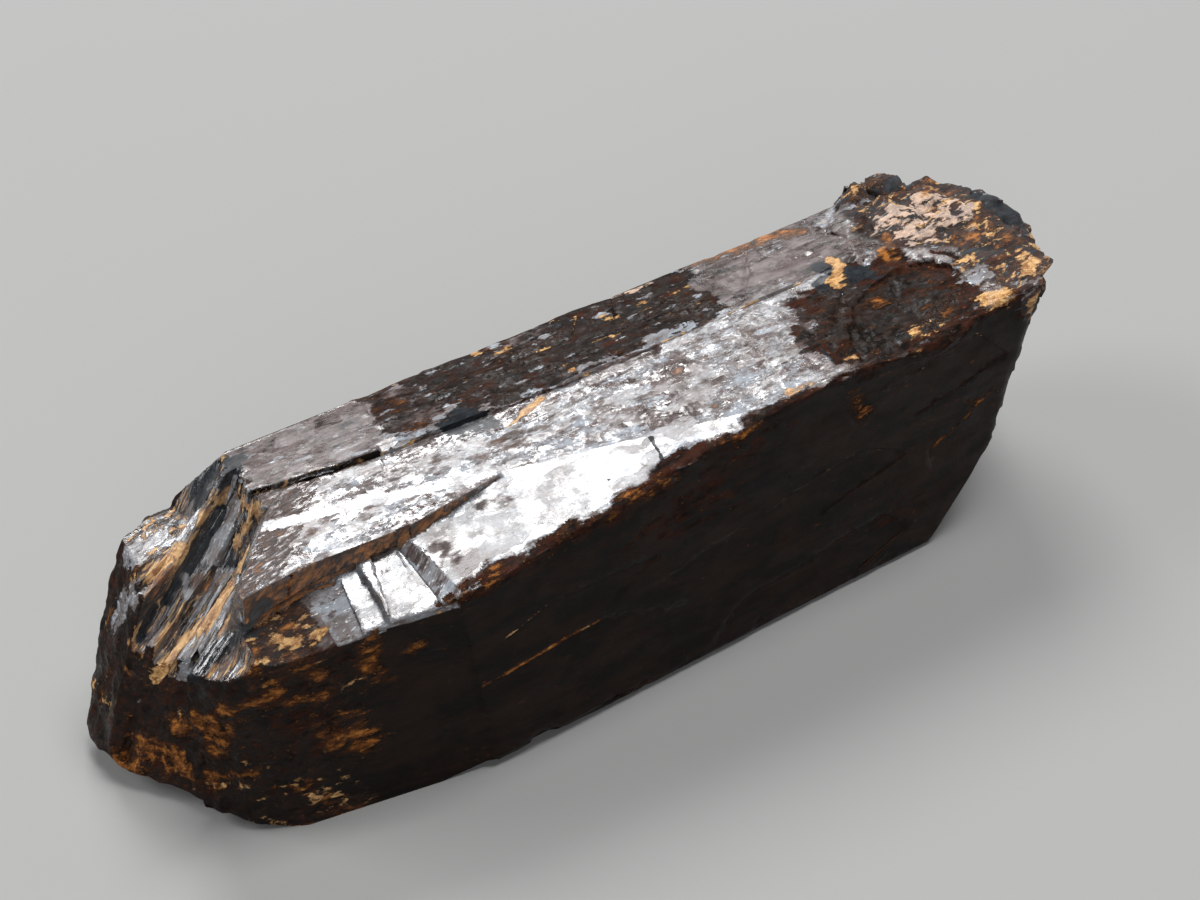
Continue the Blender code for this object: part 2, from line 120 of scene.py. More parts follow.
# areas: where it goes, over the finishes before it. roughness: the least and the most. blocks: how much its
# large, small and tiny blocks lean. grooves and grain: heights in millimetres. tilted: it follows the blades.
Finish = namedtuple("Finish", "name areas specular roughness blocks grooves grain tilted", defaults=(False,))
FINISHES = (
    Finish("prism_face", "", 0.07, (0.28, 0.5), (0.02, 0.01, 0.0), 0.006, 0.004),
    Finish("bright_face", "bright plate ledge", 0.5, (0.1, 0.42), (0.055, 0.015, 0.004), 0.002, 0.003),
    Finish("mottled_face", "middle", 0.55, (0.1, 0.42), (0.11, 0.045, 0.012), 0.003, 0.005),
    Finish("clear_block", "back", 0.4, (0.2, 0.42), (0.025, 0.012, 0.003), 0.003, 0.004),
    Finish(
        "splintered", "splintered head band margin", 0.55, (0.12, 0.38), (0.03, 0.04, 0.01), 0.03, 0.008, True
    ),
    Finish("scooped", "scoop hackly dim scar floor lip", 0.08, (0.3, 0.58), (0.03, 0.05, 0.03), 0.004, 0.012),
    Finish("crust", "crusty dirt", 0.3, (0.35, 0.6), (0.03, 0.04, 0.015), 0.004, 0.02),
)

# The soft boxes: the way to each from AIM, and its width, in metres. The stage settings hold their powers.
SOFT_BOXES = {
    "overhead": ((0.23, -0.06, 0.971), 0.13),
    "behind": ((0.22, 0.6, 0.77), 0.12),
    "left": ((-0.6, 0.5, 0.62), 0.12),
    "fill": ((-0.45, -0.75, 0.5), 0.16),
}
AIM = Vector((0.0, 0.0, 0.005))
LIGHT_DISTANCE = 0.3

# The camera looks at LOOK_AT, in millimetres from the foot, and stands CAMERA_DISTANCE metres off.
LOOK_AT = Vector((14.37, 4.93, 3.0))
CAMERA_WAY = Vector((-0.4306, -0.6336, 0.6428))
CAMERA_DISTANCE = 0.05714
LENS = 66.0

# Marks laid along lines of points: what each is made of, how strong it is, its reach, and its points.
MARKS = (
    # clay in the cracks between the blades
    ("clay", 1.0, 0.17, (4.34, 5.25, 6.72), (3.84, 5.12, 6.17), (3.33, 5.0, 6.04)),
    ("clay", 1.0, 0.2, (2.76, 4.91, 5.55), (2.24, 4.98, 5.11), (1.99, 4.98, 5.0)),
    ("clay", 1.0, 0.15, (4.39, 3.97, 6.75), (4.09, 4.09, 6.21), (3.8, 4.28, 5.65)),
    ("clay", 1.0, 0.3, (3.69, 3.75, 5.39), (3.22, 3.6, 4.93), (2.65, 3.5, 4.49), (2.03, 3.73, 3.89)),
    ("clay", 0.9, 0.2, (2.03, 3.73, 3.89), (1.4, 3.62, 3.49), (1.22, 3.74, 3.25)),
    ("clay", 0.9, 0.11, (2.45, 4.78, 4.92), (2.15, 4.7, 4.72), (1.8, 4.61, 4.39), (1.24, 4.47, 4.14)),
    ("clay", 0.9, 0.09, (1.24, 4.47, 4.14), (0.98, 4.51, 3.84)),
    ("clay", 0.7, 0.16, (3.11, 1.21, 5.49), (3.46, 0.93, 5.4), (3.82, 0.75, 5.36), (4.21, 0.86, 5.45)),
    ("clay", 0.8, 0.12, (4.2, 4.34, 6.65), (4.32, 4.07, 6.55)),
    ("clay", 0.9, 0.1, (4.43, 5.97, 6.69), (5.19, 6.2, 6.8)),
    # blue-black blades and shadowed hollows
    ("gloom", 1.0, 0.24, (3.85, 5.13, 5.93), (3.37, 4.95, 5.45), (2.85, 4.83, 5.0), (2.49, 4.79, 4.72)),
    ("gloom", 1.0, 0.16, (2.49, 4.79, 4.72), (2.1, 4.69, 4.42)),
    ("gloom", 0.9, 0.22, (3.13, 4.55, 5.18), (3.63, 4.2, 5.19)),
    ("gloom", 0.9, 0.24, (3.14, 1.49, 6.28), (2.63, 1.6, 5.72), (2.06, 1.87, 5.18), (1.4, 1.95, 4.74)),
    ("gloom", 1.0, 0.14, (1.73, 4.6, 4.44), (1.27, 4.48, 3.87)),
    ("gloom", 0.9, 0.3, (4.66, 5.58, 6.85), (4.05, 5.18, 6.79)),
    ("gloom", 1.0, 0.4, (3.83, 5.9, 5.9), (4.3, 6.2, 6.3)),
    # silvery plates, ledges and glints: partly painted reflection, and painted glints
    ("silver", 1.0, 0.26, (4.08, 4.86, 6.13), (3.72, 4.65, 5.74), (3.34, 4.45, 5.31)),
    ("silver", 1.0, 0.28, (1.68, 5.66, 5.17), (2.51, 5.67, 5.35), (3.16, 5.24, 5.83)),
    ("silver", 0.9, 0.14, (2.65, 4.75, 4.82), (2.49, 4.32, 4.67)),
    ("silver", 0.8, 0.34, (1.44, 4.9, 4.77), (1.31, 5.08, 4.46), (0.99, 5.33, 3.76)),
    ("silver", 0.8, 0.2, (3.51, 3.65, 5.14), (3.02, 3.19, 4.95), (1.89, 3.07, 4.1), (1.64, 3.2, 3.41)),
    ("silver", 1.0, 0.06, (4.36, 4.55, 6.9), (4.4, 5.05, 6.75), (4.38, 5.6, 6.6)),
    ("silver", 0.9, 0.16, (5.07, 1.05, 5.7), (5.1, 1.55, 5.9), (5.48, 1.52, 5.95), (5.62, 0.63, 5.6)),
    # iron stain low on the splintered end and along the front face
    ("stain", 1.0, 0.22, (1.76, 1.33, 3.9), (2.28, 0.95, 4.17), (2.83, 0.68, 4.34)),
    ("stain", 1.0, 0.2, (2.9, 0.63, 4.0), (3.83, 0.44, 3.83)),
    ("stain", 0.9, 0.35, (1.31, 3.01, 2.08), (1.45, 2.4, 2.3)),
    ("stain", 1.0, 0.4, (1.4, 1.79, 3.37), (1.71, 1.38, 3.29), (1.57, 1.54, 2.54)),
    ("stain", 0.9, 0.42, (3.94, 0.37, 2.49), (4.38, 0.29, 2.55), (4.76, 0.2, 1.96)),
    ("stain", 0.9, 0.3, (5.04, 0.26, 5.07), (4.92, 0.26, 4.47), (5.23, 0.18, 3.78)),
    ("stain", 0.9, 0.22, (5.9, 0.08, 4.48), (6.21, 0.03, 4.52)),
    ("stain", 1.0, 0.5, (0.58, 3.68, 1.29), (0.86, 3.28, 1.31), (1.07, 2.82, 1.06)),
    ("stain", 0.9, 0.4, (0.13, 4.17, 0.77), (0.37, 3.69, 0.69)),
    ("stain", 0.8, 0.3, (3.38, 0.57, 5.18), (3.84, 0.46, 4.51)),
    ("stain", 0.8, 0.22, (2.13, 0.98, 1.92), (1.32, 1.84, 1.45)),
    ("stain", 0.8, 0.06, (0.75, 4.57, 3.24), (0.79, 4.29, 3.02)),
    ("stain", 1.0, 0.06, (7.38, -0.4, 2.76), (9.0, -0.38, 2.95), (10.79, -0.33, 3.07)),
    ("clay", 0.6, 0.045, (8.15, -0.34, 3.88), (9.57, -0.28, 4.34)),
    ("clay", 0.5, 0.04, (9.3, -0.38, 2.99), (10.5, -0.34, 3.06)),
    ("stain", 0.7, 0.1, (23.3, 0.0, 4.18), (21.4, -0.05, 3.26)),
    ("stain", 0.8, 0.16, (22.6, -0.1, 4.2), (22.9, -0.05, 4.0)),
    ("stain", 0.7, 0.3, (18.6, -0.1, 6.1), (18.9, -0.1, 5.5)),
    # the middle
    ("smoke", 0.75, 0.42, (7.3, 1.1, 6.28), (7.7, 0.5, 6.05)),
    ("ruby", 0.62, 0.24, (7.25, 1.05, 6.26), (7.55, 0.6, 6.08)),
    ("ruby", 0.6, 0.16, (8.6, 1.35, 6.5), (9.4, 1.2, 6.5)),
    ("ruby", 0.85, 0.2, (15.4, 0.05, 6.75), (16.8, 0.12, 6.85), (18.2, 0.1, 6.86), (19.4, 0.15, 6.88)),
    ("stain", 0.8, 0.16, (14.9, -0.1, 6.55), (15.5, -0.05, 6.65)),
    ("clay", 0.7, 0.13, (16.7, 0.4, 6.85), (17.3, 0.32, 6.86)),
    ("clay", 0.7, 0.1, (18.7, 0.6, 6.89), (19.1, 0.45, 6.89)),
    ("clay", 1.0, 0.07, (10.4, 2.95, 6.92), (11.05, 3.2, 6.95)),
    ("clay", 1.0, 0.11, (11.0, 3.18, 6.95), (11.6, 3.38, 6.97)),
    ("gloom", 1.0, 0.34, (9.31, 3.63, 7.01), (9.72, 3.75, 6.96), (10.06, 3.4, 6.94)),
    ("smoke", 0.6, 0.24, (12.9, 3.22, 6.98), (13.9, 3.28, 7.0), (15.0, 3.3, 7.02)),
    ("smoke", 0.55, 0.34, (16.9, 2.4, 6.96), (16.85, 1.55, 6.92)),
    ("smoke", 0.6, 0.24, (12.5, 1.76, 6.88), (13.5, 1.5, 6.88), (14.6, 1.15, 6.87)),
    ("smoke", 0.9, 0.6, (14.98, 2.44, 6.96), (14.57, 2.22, 6.94)),
    ("stain", 0.7, 0.2, (14.98, 2.44, 6.96), (14.67, 2.22, 6.94)),
    ("stain", 0.9, 0.32, (17.97, 6.1, 6.82), (19.14, 6.0, 6.83), (20.29, 5.95, 6.8), (21.22, 5.5, 6.85)),
    ("crust", 0.7, 0.14, (15.3, 6.1, 6.8), (15.9, 6.0, 6.8), (16.61, 5.93, 6.81)),
    ("stain", 0.6, 0.2, (11.6, 5.8, 6.82), (11.94, 5.52, 6.83)),
    ("smoke", 1.0, 0.7, (18.3, 4.6, 6.9), (19.6, 4.3, 6.9), (20.4, 4.4, 6.9)),
    ("gloom", 1.0, 0.05, (13.07, 0.89, 6.82), (13.01, 0.36, 6.57), (13.01, -0.1, 6.21)),
    ("gloom", 1.0, 0.055, (18.4, 1.2, 6.91), (18.35, 0.9, 6.91), (18.31, 0.18, 6.78)),
    # the far end
    ("clay", 0.9, 0.3, (20.9, 0.5, 6.7), (21.09, 0.61, 6.49)),
    ("gloom", 0.9, 0.3, (20.29, 3.8, 7.13), (20.81, 3.08, 7.08), (21.31, 2.89, 7.05)),
    ("gloom", 0.9, 0.2, (19.86, 3.15, 7.07), (20.25, 3.17, 7.07)),
    ("clay", 0.9, 0.27, (20.3, 3.1, 7.08), (20.85, 3.45, 7.15), (20.75, 3.8, 7.12)),
    ("stain", 1.0, 0.24, (22.15, 3.45, 7.12), (22.11, 3.09, 7.1), (22.33, 3.05, 7.1), (22.6, 3.8, 7.1)),
    ("stain", 0.9, 0.18, (21.9, 0.6, 6.95), (22.3, 0.75, 6.9)),
    ("stain", 1.0, 0.3, (24.2, 2.7, 7.1), (24.6, 2.6, 7.1)),
    ("silver", 0.9, 0.28, (23.3, 1.35, 6.95), (23.77, 1.35, 7.0)),
    ("clay", 1.0, 0.3, (23.25, 0.45, 6.95), (23.6, 0.4, 6.9)),
    ("clay", 0.9, 0.34, (24.9, 0.75, 6.9), (25.2, 1.1, 6.9)),
    ("stain", 0.9, 0.4, (25.3, 2.0, 7.0), (25.9, 2.2, 6.7)),
    ("gloom", 1.0, 0.7, (26.3, 3.2, 6.6), (26.2, 4.2, 6.6)),
    ("gloom", 0.9, 0.35, (24.3, 5.6, 7.1), (25.0, 5.7, 6.9)),
    ("silver", 0.9, 0.4, (22.0, 5.4, 6.9), (22.9, 5.6, 6.9)),
)


# ---------------- patterns over points


def lattice(cells, seed):
    """A steady random value from 0 to 1 for each whole-numbered cell."""
    i, j, k = (cells[:, axis].astype(np.int64).astype(np.uint32) for axis in range(3))
    value = i * np.uint32(73856093) ^ j * np.uint32(19349663) ^ k * np.uint32(83492791)
    value ^= np.uint32((seed * 2654435761 + 97) & 0xFFFFFFFF)
    for shift, factor in ((15, 2246822519), (13, 3266489917)):
        value ^= value >> np.uint32(shift)
        value *= np.uint32(factor)
    value ^= value >> np.uint32(16)
    return value.astype(np.float64) / 0xFFFFFFFF


def noise(points, scale, seed):
    """Smooth noise from -1 to 1. scale is in cells a millimetre, one number or one for each axis."""
    grid = points * np.asarray(scale, float)
    low = np.floor(grid)
    part = grid - low
    part = part * part * (3.0 - 2.0 * part)
    total = np.zeros(len(points))
    for corner in range(8):
        step = np.array([corner & 1, corner >> 1 & 1, corner >> 2 & 1], float)
        weight = np.prod(np.where(step > 0, part, 1.0 - part), axis=1)
        total += weight * lattice(low + step, seed)
    return total * 2.0 - 1.0


def cloud(points, scale, octaves, seed):
    """Noise with finer and fainter noise on it, roughly from -1 to 1."""
    scale = np.asarray(scale, float)
    total = sum(noise(points, scale * 2.0**n, seed + 17 * n) * 0.5**n for n in range(octaves))
    return total / sum(0.5**n for n in range(octaves)) * 1.3


def lump_gap(points, scale, seed):
    """The distance from each point to the nearest lump's middle, in cells, with one lump a cell."""
    grid = points * scale
    low = np.floor(grid)
    nearest = np.full(len(points), FAR_OFF)
    for number in range(27):
        cell = low + np.array([number % 3 - 1, number // 3 % 3 - 1, number // 9 - 1], float)
        jitter = np.stack([lattice(cell, seed + 5 * axis) for axis in range(3)], axis=1)
        nearest = np.minimum(nearest, np.sqrt(((cell + jitter - grid) ** 2).sum(axis=1)))
    return nearest


def ramp(values, low, high):
    """0 below low, 1 above high, and a smooth rise between; low may be above high."""
    share = np.clip((values - low) / (high - low), 0.0, 1.0)
    return share * share * (3.0 - 2.0 * share)


def egg(points, place):
    """1 at the centre of an egg-shaped place, falling to 0 at its reach."""
    centre, reach = place
    apart = (points - np.array(centre)) / np.array(reach)
    return np.clip(1.0 - np.sqrt((apart**2).sum(axis=1)), 0.0, 1.0)


def facet_gap(points, facet):
    """How far below a top facet each point lies."""
    height, along, across = facet
    return height + along * points[:, 0] + across * points[:, 1] - points[:, 2]


def front_gap(points):
    """How far below the lower of the bright and middle facets each point lies."""
    return np.minimum(facet_gap(points, MIDDLE_FACET), facet_gap(points, BRIGHT_FACET))


def polyline(x, corners):
    """y along a line of (x, y) corners."""
    return np.interp(x, [c[0] for c in corners], [c[1] for c in corners])


def line_gap(points, line):
    """The distance from each point to a line of corners, or FAR_OFF."""
    corners = np.array(line)
    gap = np.full(len(points), FAR_OFF)
    low, high = corners.min(axis=0) - LONGEST_REACH, corners.max(axis=0) + LONGEST_REACH
    close = np.all((points > low) & (points < high), axis=1)
    here = points[close]
    best = np.full(len(here), FAR_OFF)
    for start, end in zip(corners[:-1], corners[1:]):
        along = end - start
        share = np.clip((here - start) @ along / (along @ along), 0.0, 1.0)
        best = np.minimum(best, np.sqrt(((here - start - share[:, None] * along) ** 2).sum(axis=1)))
    gap[close] = best
    return gap


def blade_frame(points):
    """Points along, across and over the blades of the splintered end."""
    turn, rise = radians(TURN), radians(RISE)
    x, y, z = points.T
    u = x * np.cos(turn) + y * np.sin(turn)
    v = -x * np.sin(turn) + y * np.cos(turn)
    return np.stack([u * np.cos(rise) + z * np.sin(rise), v, -u * np.sin(rise) + z * np.cos(rise)], axis=1)


# ---------------- the fine mesh


def slices(bm, faces, axis, places):
    """Cuts faces by planes across one axis, at each of the sorted places."""
    if not places or not faces:
        return
    middle = len(places) // 2
    normal = Vector([float(n == axis) for n in range(3)])
    edges = {edge for face in faces for edge in face.edges}
    verts = {vert for edge in edges for vert in edge.verts}
    found = bmesh.ops.bisect_plane(
        bm,
        geom=[*verts, *edges, *faces],
        dist=1e-4,
        plane_co=normal * places[middle],
        plane_no=normal,
    )
    below, above = [], []
    for item in found["geom"]:
        if isinstance(item, bmesh.types.BMFace):
            side = below if item.calc_center_median()[axis] < places[middle] else above
            side.append(item)
    slices(bm, below, axis, places[:middle])
    slices(bm, above, axis, places[middle + 1 :])


def triangulate(bm):
    """Cuts every face into triangles."""
    bmesh.ops.triangulate(bm, faces=[face for face in bm.faces if len(face.verts) > 3])


def close_slivers(bm):
    """Closes up the shortest edges and leaves only triangles."""
    bmesh.ops.dissolve_degenerate(bm, dist=SLIVER, edges=bm.edges)
    triangulate(bm)


def sliced_copy(node, step):
    """A merged copy of a CAD node in millimetres from the foot, cut into an even net of small facets."""
    bm = bmesh.new()
    bm.from_mesh(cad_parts[node].data)
    bmesh.ops.remove_doubles(bm, verts=bm.verts, dist=1e-6)
    bmesh.ops.scale(bm, verts=bm.verts, vec=(1 / MM,) * 3)
    bmesh.ops.translate(bm, verts=bm.verts, vec=-FOOT)
    low = [min(v.co[axis] for v in bm.verts) for axis in range(3)]
    high = [max(v.co[axis] for v in bm.verts) for axis in range(3)]
    # Faces that nearly face along an axis aren't cut across it.
    for axis, flat in enumerate((2.0, 0.85, 0.8)):
        places = [float(place) for place in np.arange(low[axis] + step / 2, high[axis], step)]
        slices(bm, [face for face in bm.faces if abs(face.normal[axis]) < flat], axis, places)
    close_slivers(bm)
    return bm


def facet_size(points, ways, step):
    """How long an edge may be at each point: short at the splintered end and along the fine cracks, longer
    on the top, and longest on the back and the underside."""
    x, _, z = points.T
    size = np.full(len(points), step * 1.3)
    size[(ways[:, 2] > 0.5) & (z > 4.5)] = step * 0.42
    size[(ways[:, 1] < -0.5) | (ways[:, 0] > 0.4)] = step * 0.8
    near = (x < 7.6) & (ways[:, 2] > -0.5) & ((ways[:, 1] < 0.7) | (x < 5.0)) & ((z > 2.0) | (x < 5.0))
    size[near] = step * 0.26
    for _, _, reach, *line in MARKS:
        if reach < 0.12:
            close = line_gap(points, line) < reach + 0.08
            size[close] = np.minimum(size[close], step * 0.24)
    return size


def refine(bm, step, rounds):
    """Halves the edges that are longer than they may be, a few times over, and cleans up."""
    for _ in range(rounds):
        ends = np.array([(*edge.verts[0].co, *edge.verts[1].co) for edge in bm.edges])
        ways = np.array([tuple(edge.link_faces[0].normal) for edge in bm.edges])
        length = np.sqrt(((ends[:, :3] - ends[:, 3:]) ** 2).sum(axis=1))
        long = length > facet_size((ends[:, :3] + ends[:, 3:]) / 2, ways, step) * 1.35
        edges = [edge for edge, cut in zip(bm.edges, long) if cut]
        bmesh.ops.subdivide_edges(bm, edges=edges, cuts=1, use_grid_fill=True)
        triangulate(bm)
        bm.normal_update()
    close_slivers(bm)
    # Closing a sliver can leave a flap of two facets back to back.
    alike = {}
    for face in bm.faces:
        alike.setdefault(frozenset(face.verts), []).append(face)
    flaps = [face for faces in alike.values() if len(faces) > 1 for face in faces]
    bmesh.ops.delete(bm, geom=flaps, context="FACES")


class Surface:
    """A mesh's points, normals, edges and facets as arrays, in millimetres from the foot."""

    def __init__(self, mesh):
        self.mesh = mesh
        self.points = self.read(mesh.vertices, "co", 3, float)
        self.normals = self.read(mesh.vertices, "normal", 3, float)
        self.edges = self.read(mesh.edges, "vertices", 2, np.int64)
        self.corners = self.read(mesh.loops, "vertex_index", 1, np.int64).reshape(-1, 3)
        self.degree = np.bincount(self.edges.ravel(), minlength=len(self.points)).astype(float)

    @staticmethod
    def read(items, name, width, kind):
        """One value of every item, in rows of width."""
        values = np.zeros(len(items) * width, kind)
        items.foreach_get(name, values)
        return values.reshape(-1, width)

    def blurred(self, values, rounds):
        """Values averaged with their neighbours', a few times over."""
        one, other = self.edges[:, 0], self.edges[:, 1]
        columns = values.reshape(len(values), -1)
        for _ in range(rounds):
            summed = np.empty_like(columns)
            for n in range(columns.shape[1]):
                summed[:, n] = np.bincount(one, columns[other, n], len(values))
                summed[:, n] += np.bincount(other, columns[one, n], len(values))
            columns = 0.5 * columns + 0.5 * summed / self.degree[:, None]
        return columns.reshape(values.shape)

    def facing(self):
        """Every facet's normal, at the length of twice its area."""
        a, b, c = (self.points[self.corners[:, n]] for n in range(3))
        return np.cross(b - a, c - a)

    def unfold(self, before, rounds):
        """Relaxes the points of facets that turned over since facing() gave before."""
        for _ in range(rounds):
            over = (self.facing() * before).sum(axis=1) <= 0.0
            loose = np.zeros((len(self.points), 1))
            loose[self.corners[over].ravel()] = 1.0
            self.points = self.points + (self.blurred(self.points, 1) - self.points) * loose

    def hollow(self, rounds):
        """How far each point lies below its surroundings, in millimetres: ridges come out negative."""
        return ((self.blurred(self.points, rounds) - self.points) * self.normals).sum(axis=1)

    def write(self, masks):
        """Puts the points and the masks into the mesh."""
        self.mesh.vertices.foreach_set("co", self.points.ravel())
        for name, values in masks.items():
            layer = self.mesh.attributes.new(name, "FLOAT", "POINT")
            layer.data.foreach_set("value", np.clip(values, 0.0, 1.0))
        self.mesh.update()


# ---------------- where things are


def most(area, names):
    """The most of several areas at each point. names has a space between each two."""
    return np.maximum.reduce([getattr(area, name) for name in names.split()])


def top_regions(area, p, n):
    """The long facets of the top. sunk is how deep the shallow old breaks in them are."""
    x, y, z = p.T
    crease = polyline(x, CREASE)
    below = facet_gap(p, BRIGHT_FACET)
    past_end = x > WHOLE_TOP
    up = ramp(n[2], 0.72, 0.88)
    skin = ramp(n[2], -0.2, 0.1) * (past_end | (up > 0.5)) * (y > 0.25 - 0.2 * up) * (y < 6.3 + 0.5 * up)
    bright = np.maximum(up, skin * past_end) * (np.abs(below) < 0.06)
    middle = skin * (np.abs(facet_gap(p, MIDDLE_FACET)) < 0.22) * (y < crease + 0.02) * (1 - bright)
    back = skin * (np.abs(facet_gap(p, BACK_FACET)) < 0.26) * (y > crease - 0.02)
    area.up, area.bright, area.middle, area.back = up, bright, middle, back
    sunk = np.where(y < crease, facet_gap(p, MIDDLE_FACET), facet_gap(p, BACK_FACET))
    area.sunk = np.where((middle + back > 0.5) & (sunk > 0) & (sunk < 0.22), sunk, 0.0) * (x > 7.8)
    # The back facet has a clear block at each end and a dark flecked length between them.
    area.block = back * ramp(x + 0.9 * cloud(p, (0.8, 1.6, 1.6), 4, 151), 7.9, 7.5)
    clear = ramp(x + 1.8 * cloud(p, (0.5, 1.2, 1.2), 4, 152), 17.1, 17.5)
    area.dim = back * (1 - area.block) * (1 - clear)
    area.crease_wall = (np.abs(y - crease) < 0.12) * (z > 6.4) * past_end * (n[2] < 0.7)


def slab_regions(area, p, n):
    """The slab of the top, the band under its edge and the flight of steps beside it."""
    x, y, z = p.T
    slab = polyline(x, SLAB_EDGE)
    below = facet_gap(p, BRIGHT_FACET)
    beside = area.up * (x < NOTCH_END) * (y < slab + 0.1)
    for name, depth in STEPS:
        setattr(area, name, beside * (np.abs(below - depth) < 0.032))
    area.steps = most(area, "floor ledge plate")
    area.dirt = area.floor * ramp(x + 0.5 * noise(p, 1.6, 7), 4.5, 3.8)
    flight = (x < NOTCH_END) * (x > 4.3) * (y < slab + 0.1) * (below < 0.42) * (n[2] > -0.2)
    area.flight = flight * ((below > 0.19) | ((x < 6.3) & (below > 0.01)))
    head = (x > 6.2) * (x < 7.6) * (y < 1.6) * (below > 0.0) * (below < 0.3) * (n[2] > 0.3)
    area.head = head * (1 - most(area, "steps bright middle"))
    band = ramp(-n[1], 0.6, 0.8) * (y > 1.2) * (y < slab + 0.35)
    area.band = band * (x < SLAB_END) * (z > 5.3) * (below < 0.6)
    area.slab = area.middle * (x < SLAB_END) * (y > slab - 0.05)
    area.slab_end = (x > 2.3) * (x < 4.8) * (y > 1.3) * (y < 4.1) * (z > 5.7) * (n[0] < -0.4)
    # The left margin of the slab, past the line where its slanted end meets its top.
    margin = (x - 2.9) * 0.755 - (y - 1.45) * 0.655
    area.margin = area.slab * ramp(margin + 0.25 * cloud(p, 1.3, 3, 57), 1.15, 0.25)


def splintered_regions(area, p, n):
    """The splintered end's blades, and its flat faces low down, which are hackly at the foot."""
    x, y, z = p.T
    low = np.minimum.reduce([np.abs((p - place) @ np.array(way)) for place, way in LOW_FACES])
    flat = most(area, "bright middle back steps")
    on_low = low < 0.035
    splintered = (x < 7.8) * (z > 2.2) * (1 - flat) * (1 - on_low) * (y < 6.5) * (n[2] > -0.4)
    splintered = splintered * (1 - most(area, "head band")) * ((y > 0.3) | (n[2] > 0.5))
    ragged_end = x + 1.4 * cloud(p, (0.8, 1.4, 1.4), 3, 63) < 7.2 - 2.2 * (y > 6.0)
    splintered = splintered * (n[1] < 0.6) * ragged_end
    area.splintered = splintered * (1 - area.flight * (1 - area.steps))
    area.hackly = on_low * (x < 6.4) * (1 - flat) * ramp(x + 0.8 * cloud(p, (0.5, 1.0, 1.0), 3, 66), 5.6, 3.6)


def far_regions(area, p, n):
    """The scoop near the far end, the dark scar round it, its brim and the crust."""
    area.scoop = np.clip(egg(p, SCOOP) * 5, 0, 1) * ramp(front_gap(p), 0.015, 0.08)
    scar = egg(p, SCAR) - 0.33 + 0.24 * cloud(p, (0.9, 1.2, 1.2), 4, 58)
    upward = ramp(n[2], 0.2, 0.5)
    area.scar = ramp(scar, 0.0, 0.11) * upward
    area.brim = ramp(egg(p, SCOOP_BRIM), 0.0, 0.15) * upward
    crusty = np.maximum.reduce([egg(p, place) for place in CRUST])
    area.crusty = ramp(crusty + 0.12 * cloud(p, 0.9, 3, 41), 0.08, 0.3)


def front_regions(area, p, n):
    """The front face. front is how deep its shallow old breaks are; the rim is where it meets the bright
    facet, or past that facet's end the middle one; the lip is the rim's stained upper side."""
    x, y, z = p.T
    drop = np.minimum(np.abs(facet_gap(p, BRIGHT_FACET)), np.abs(facet_gap(p, MIDDLE_FACET)))
    past_start = x > 6.6
    rim = ramp(-n[1], 0.5, 0.8) * (y < 0.4) * past_start
    area.rim = rim * ramp(drop + 0.16 * cloud(p, 1.5, 3, 47), 0.55, 0.05)
    inward = y - (-0.73 + 0.02 * x + 0.06 * z)
    area.front = ramp(-n[1], 0.3, 0.6) * past_start * (inward < 0.16) * (inward > 0.0) * inward
    ragged_edge = inward + 0.34 * cloud(p, (0.9, 1.8, 1.8), 4, 48)
    area.lip = area.up * past_start * ramp(ragged_edge, 0.4, 0.05)


def regions(surface):
    """Where each kind of surface is, as values from 0 to 1, or depths in millimetres where it says so.
    Each part is given the points p and the x, y and z of their normals, n."""
    area = SimpleNamespace()
    for fill in (top_regions, slab_regions, splintered_regions, far_regions, front_regions):
        fill(area, surface.points, surface.normals.T)
    return area


# ---------------- carving


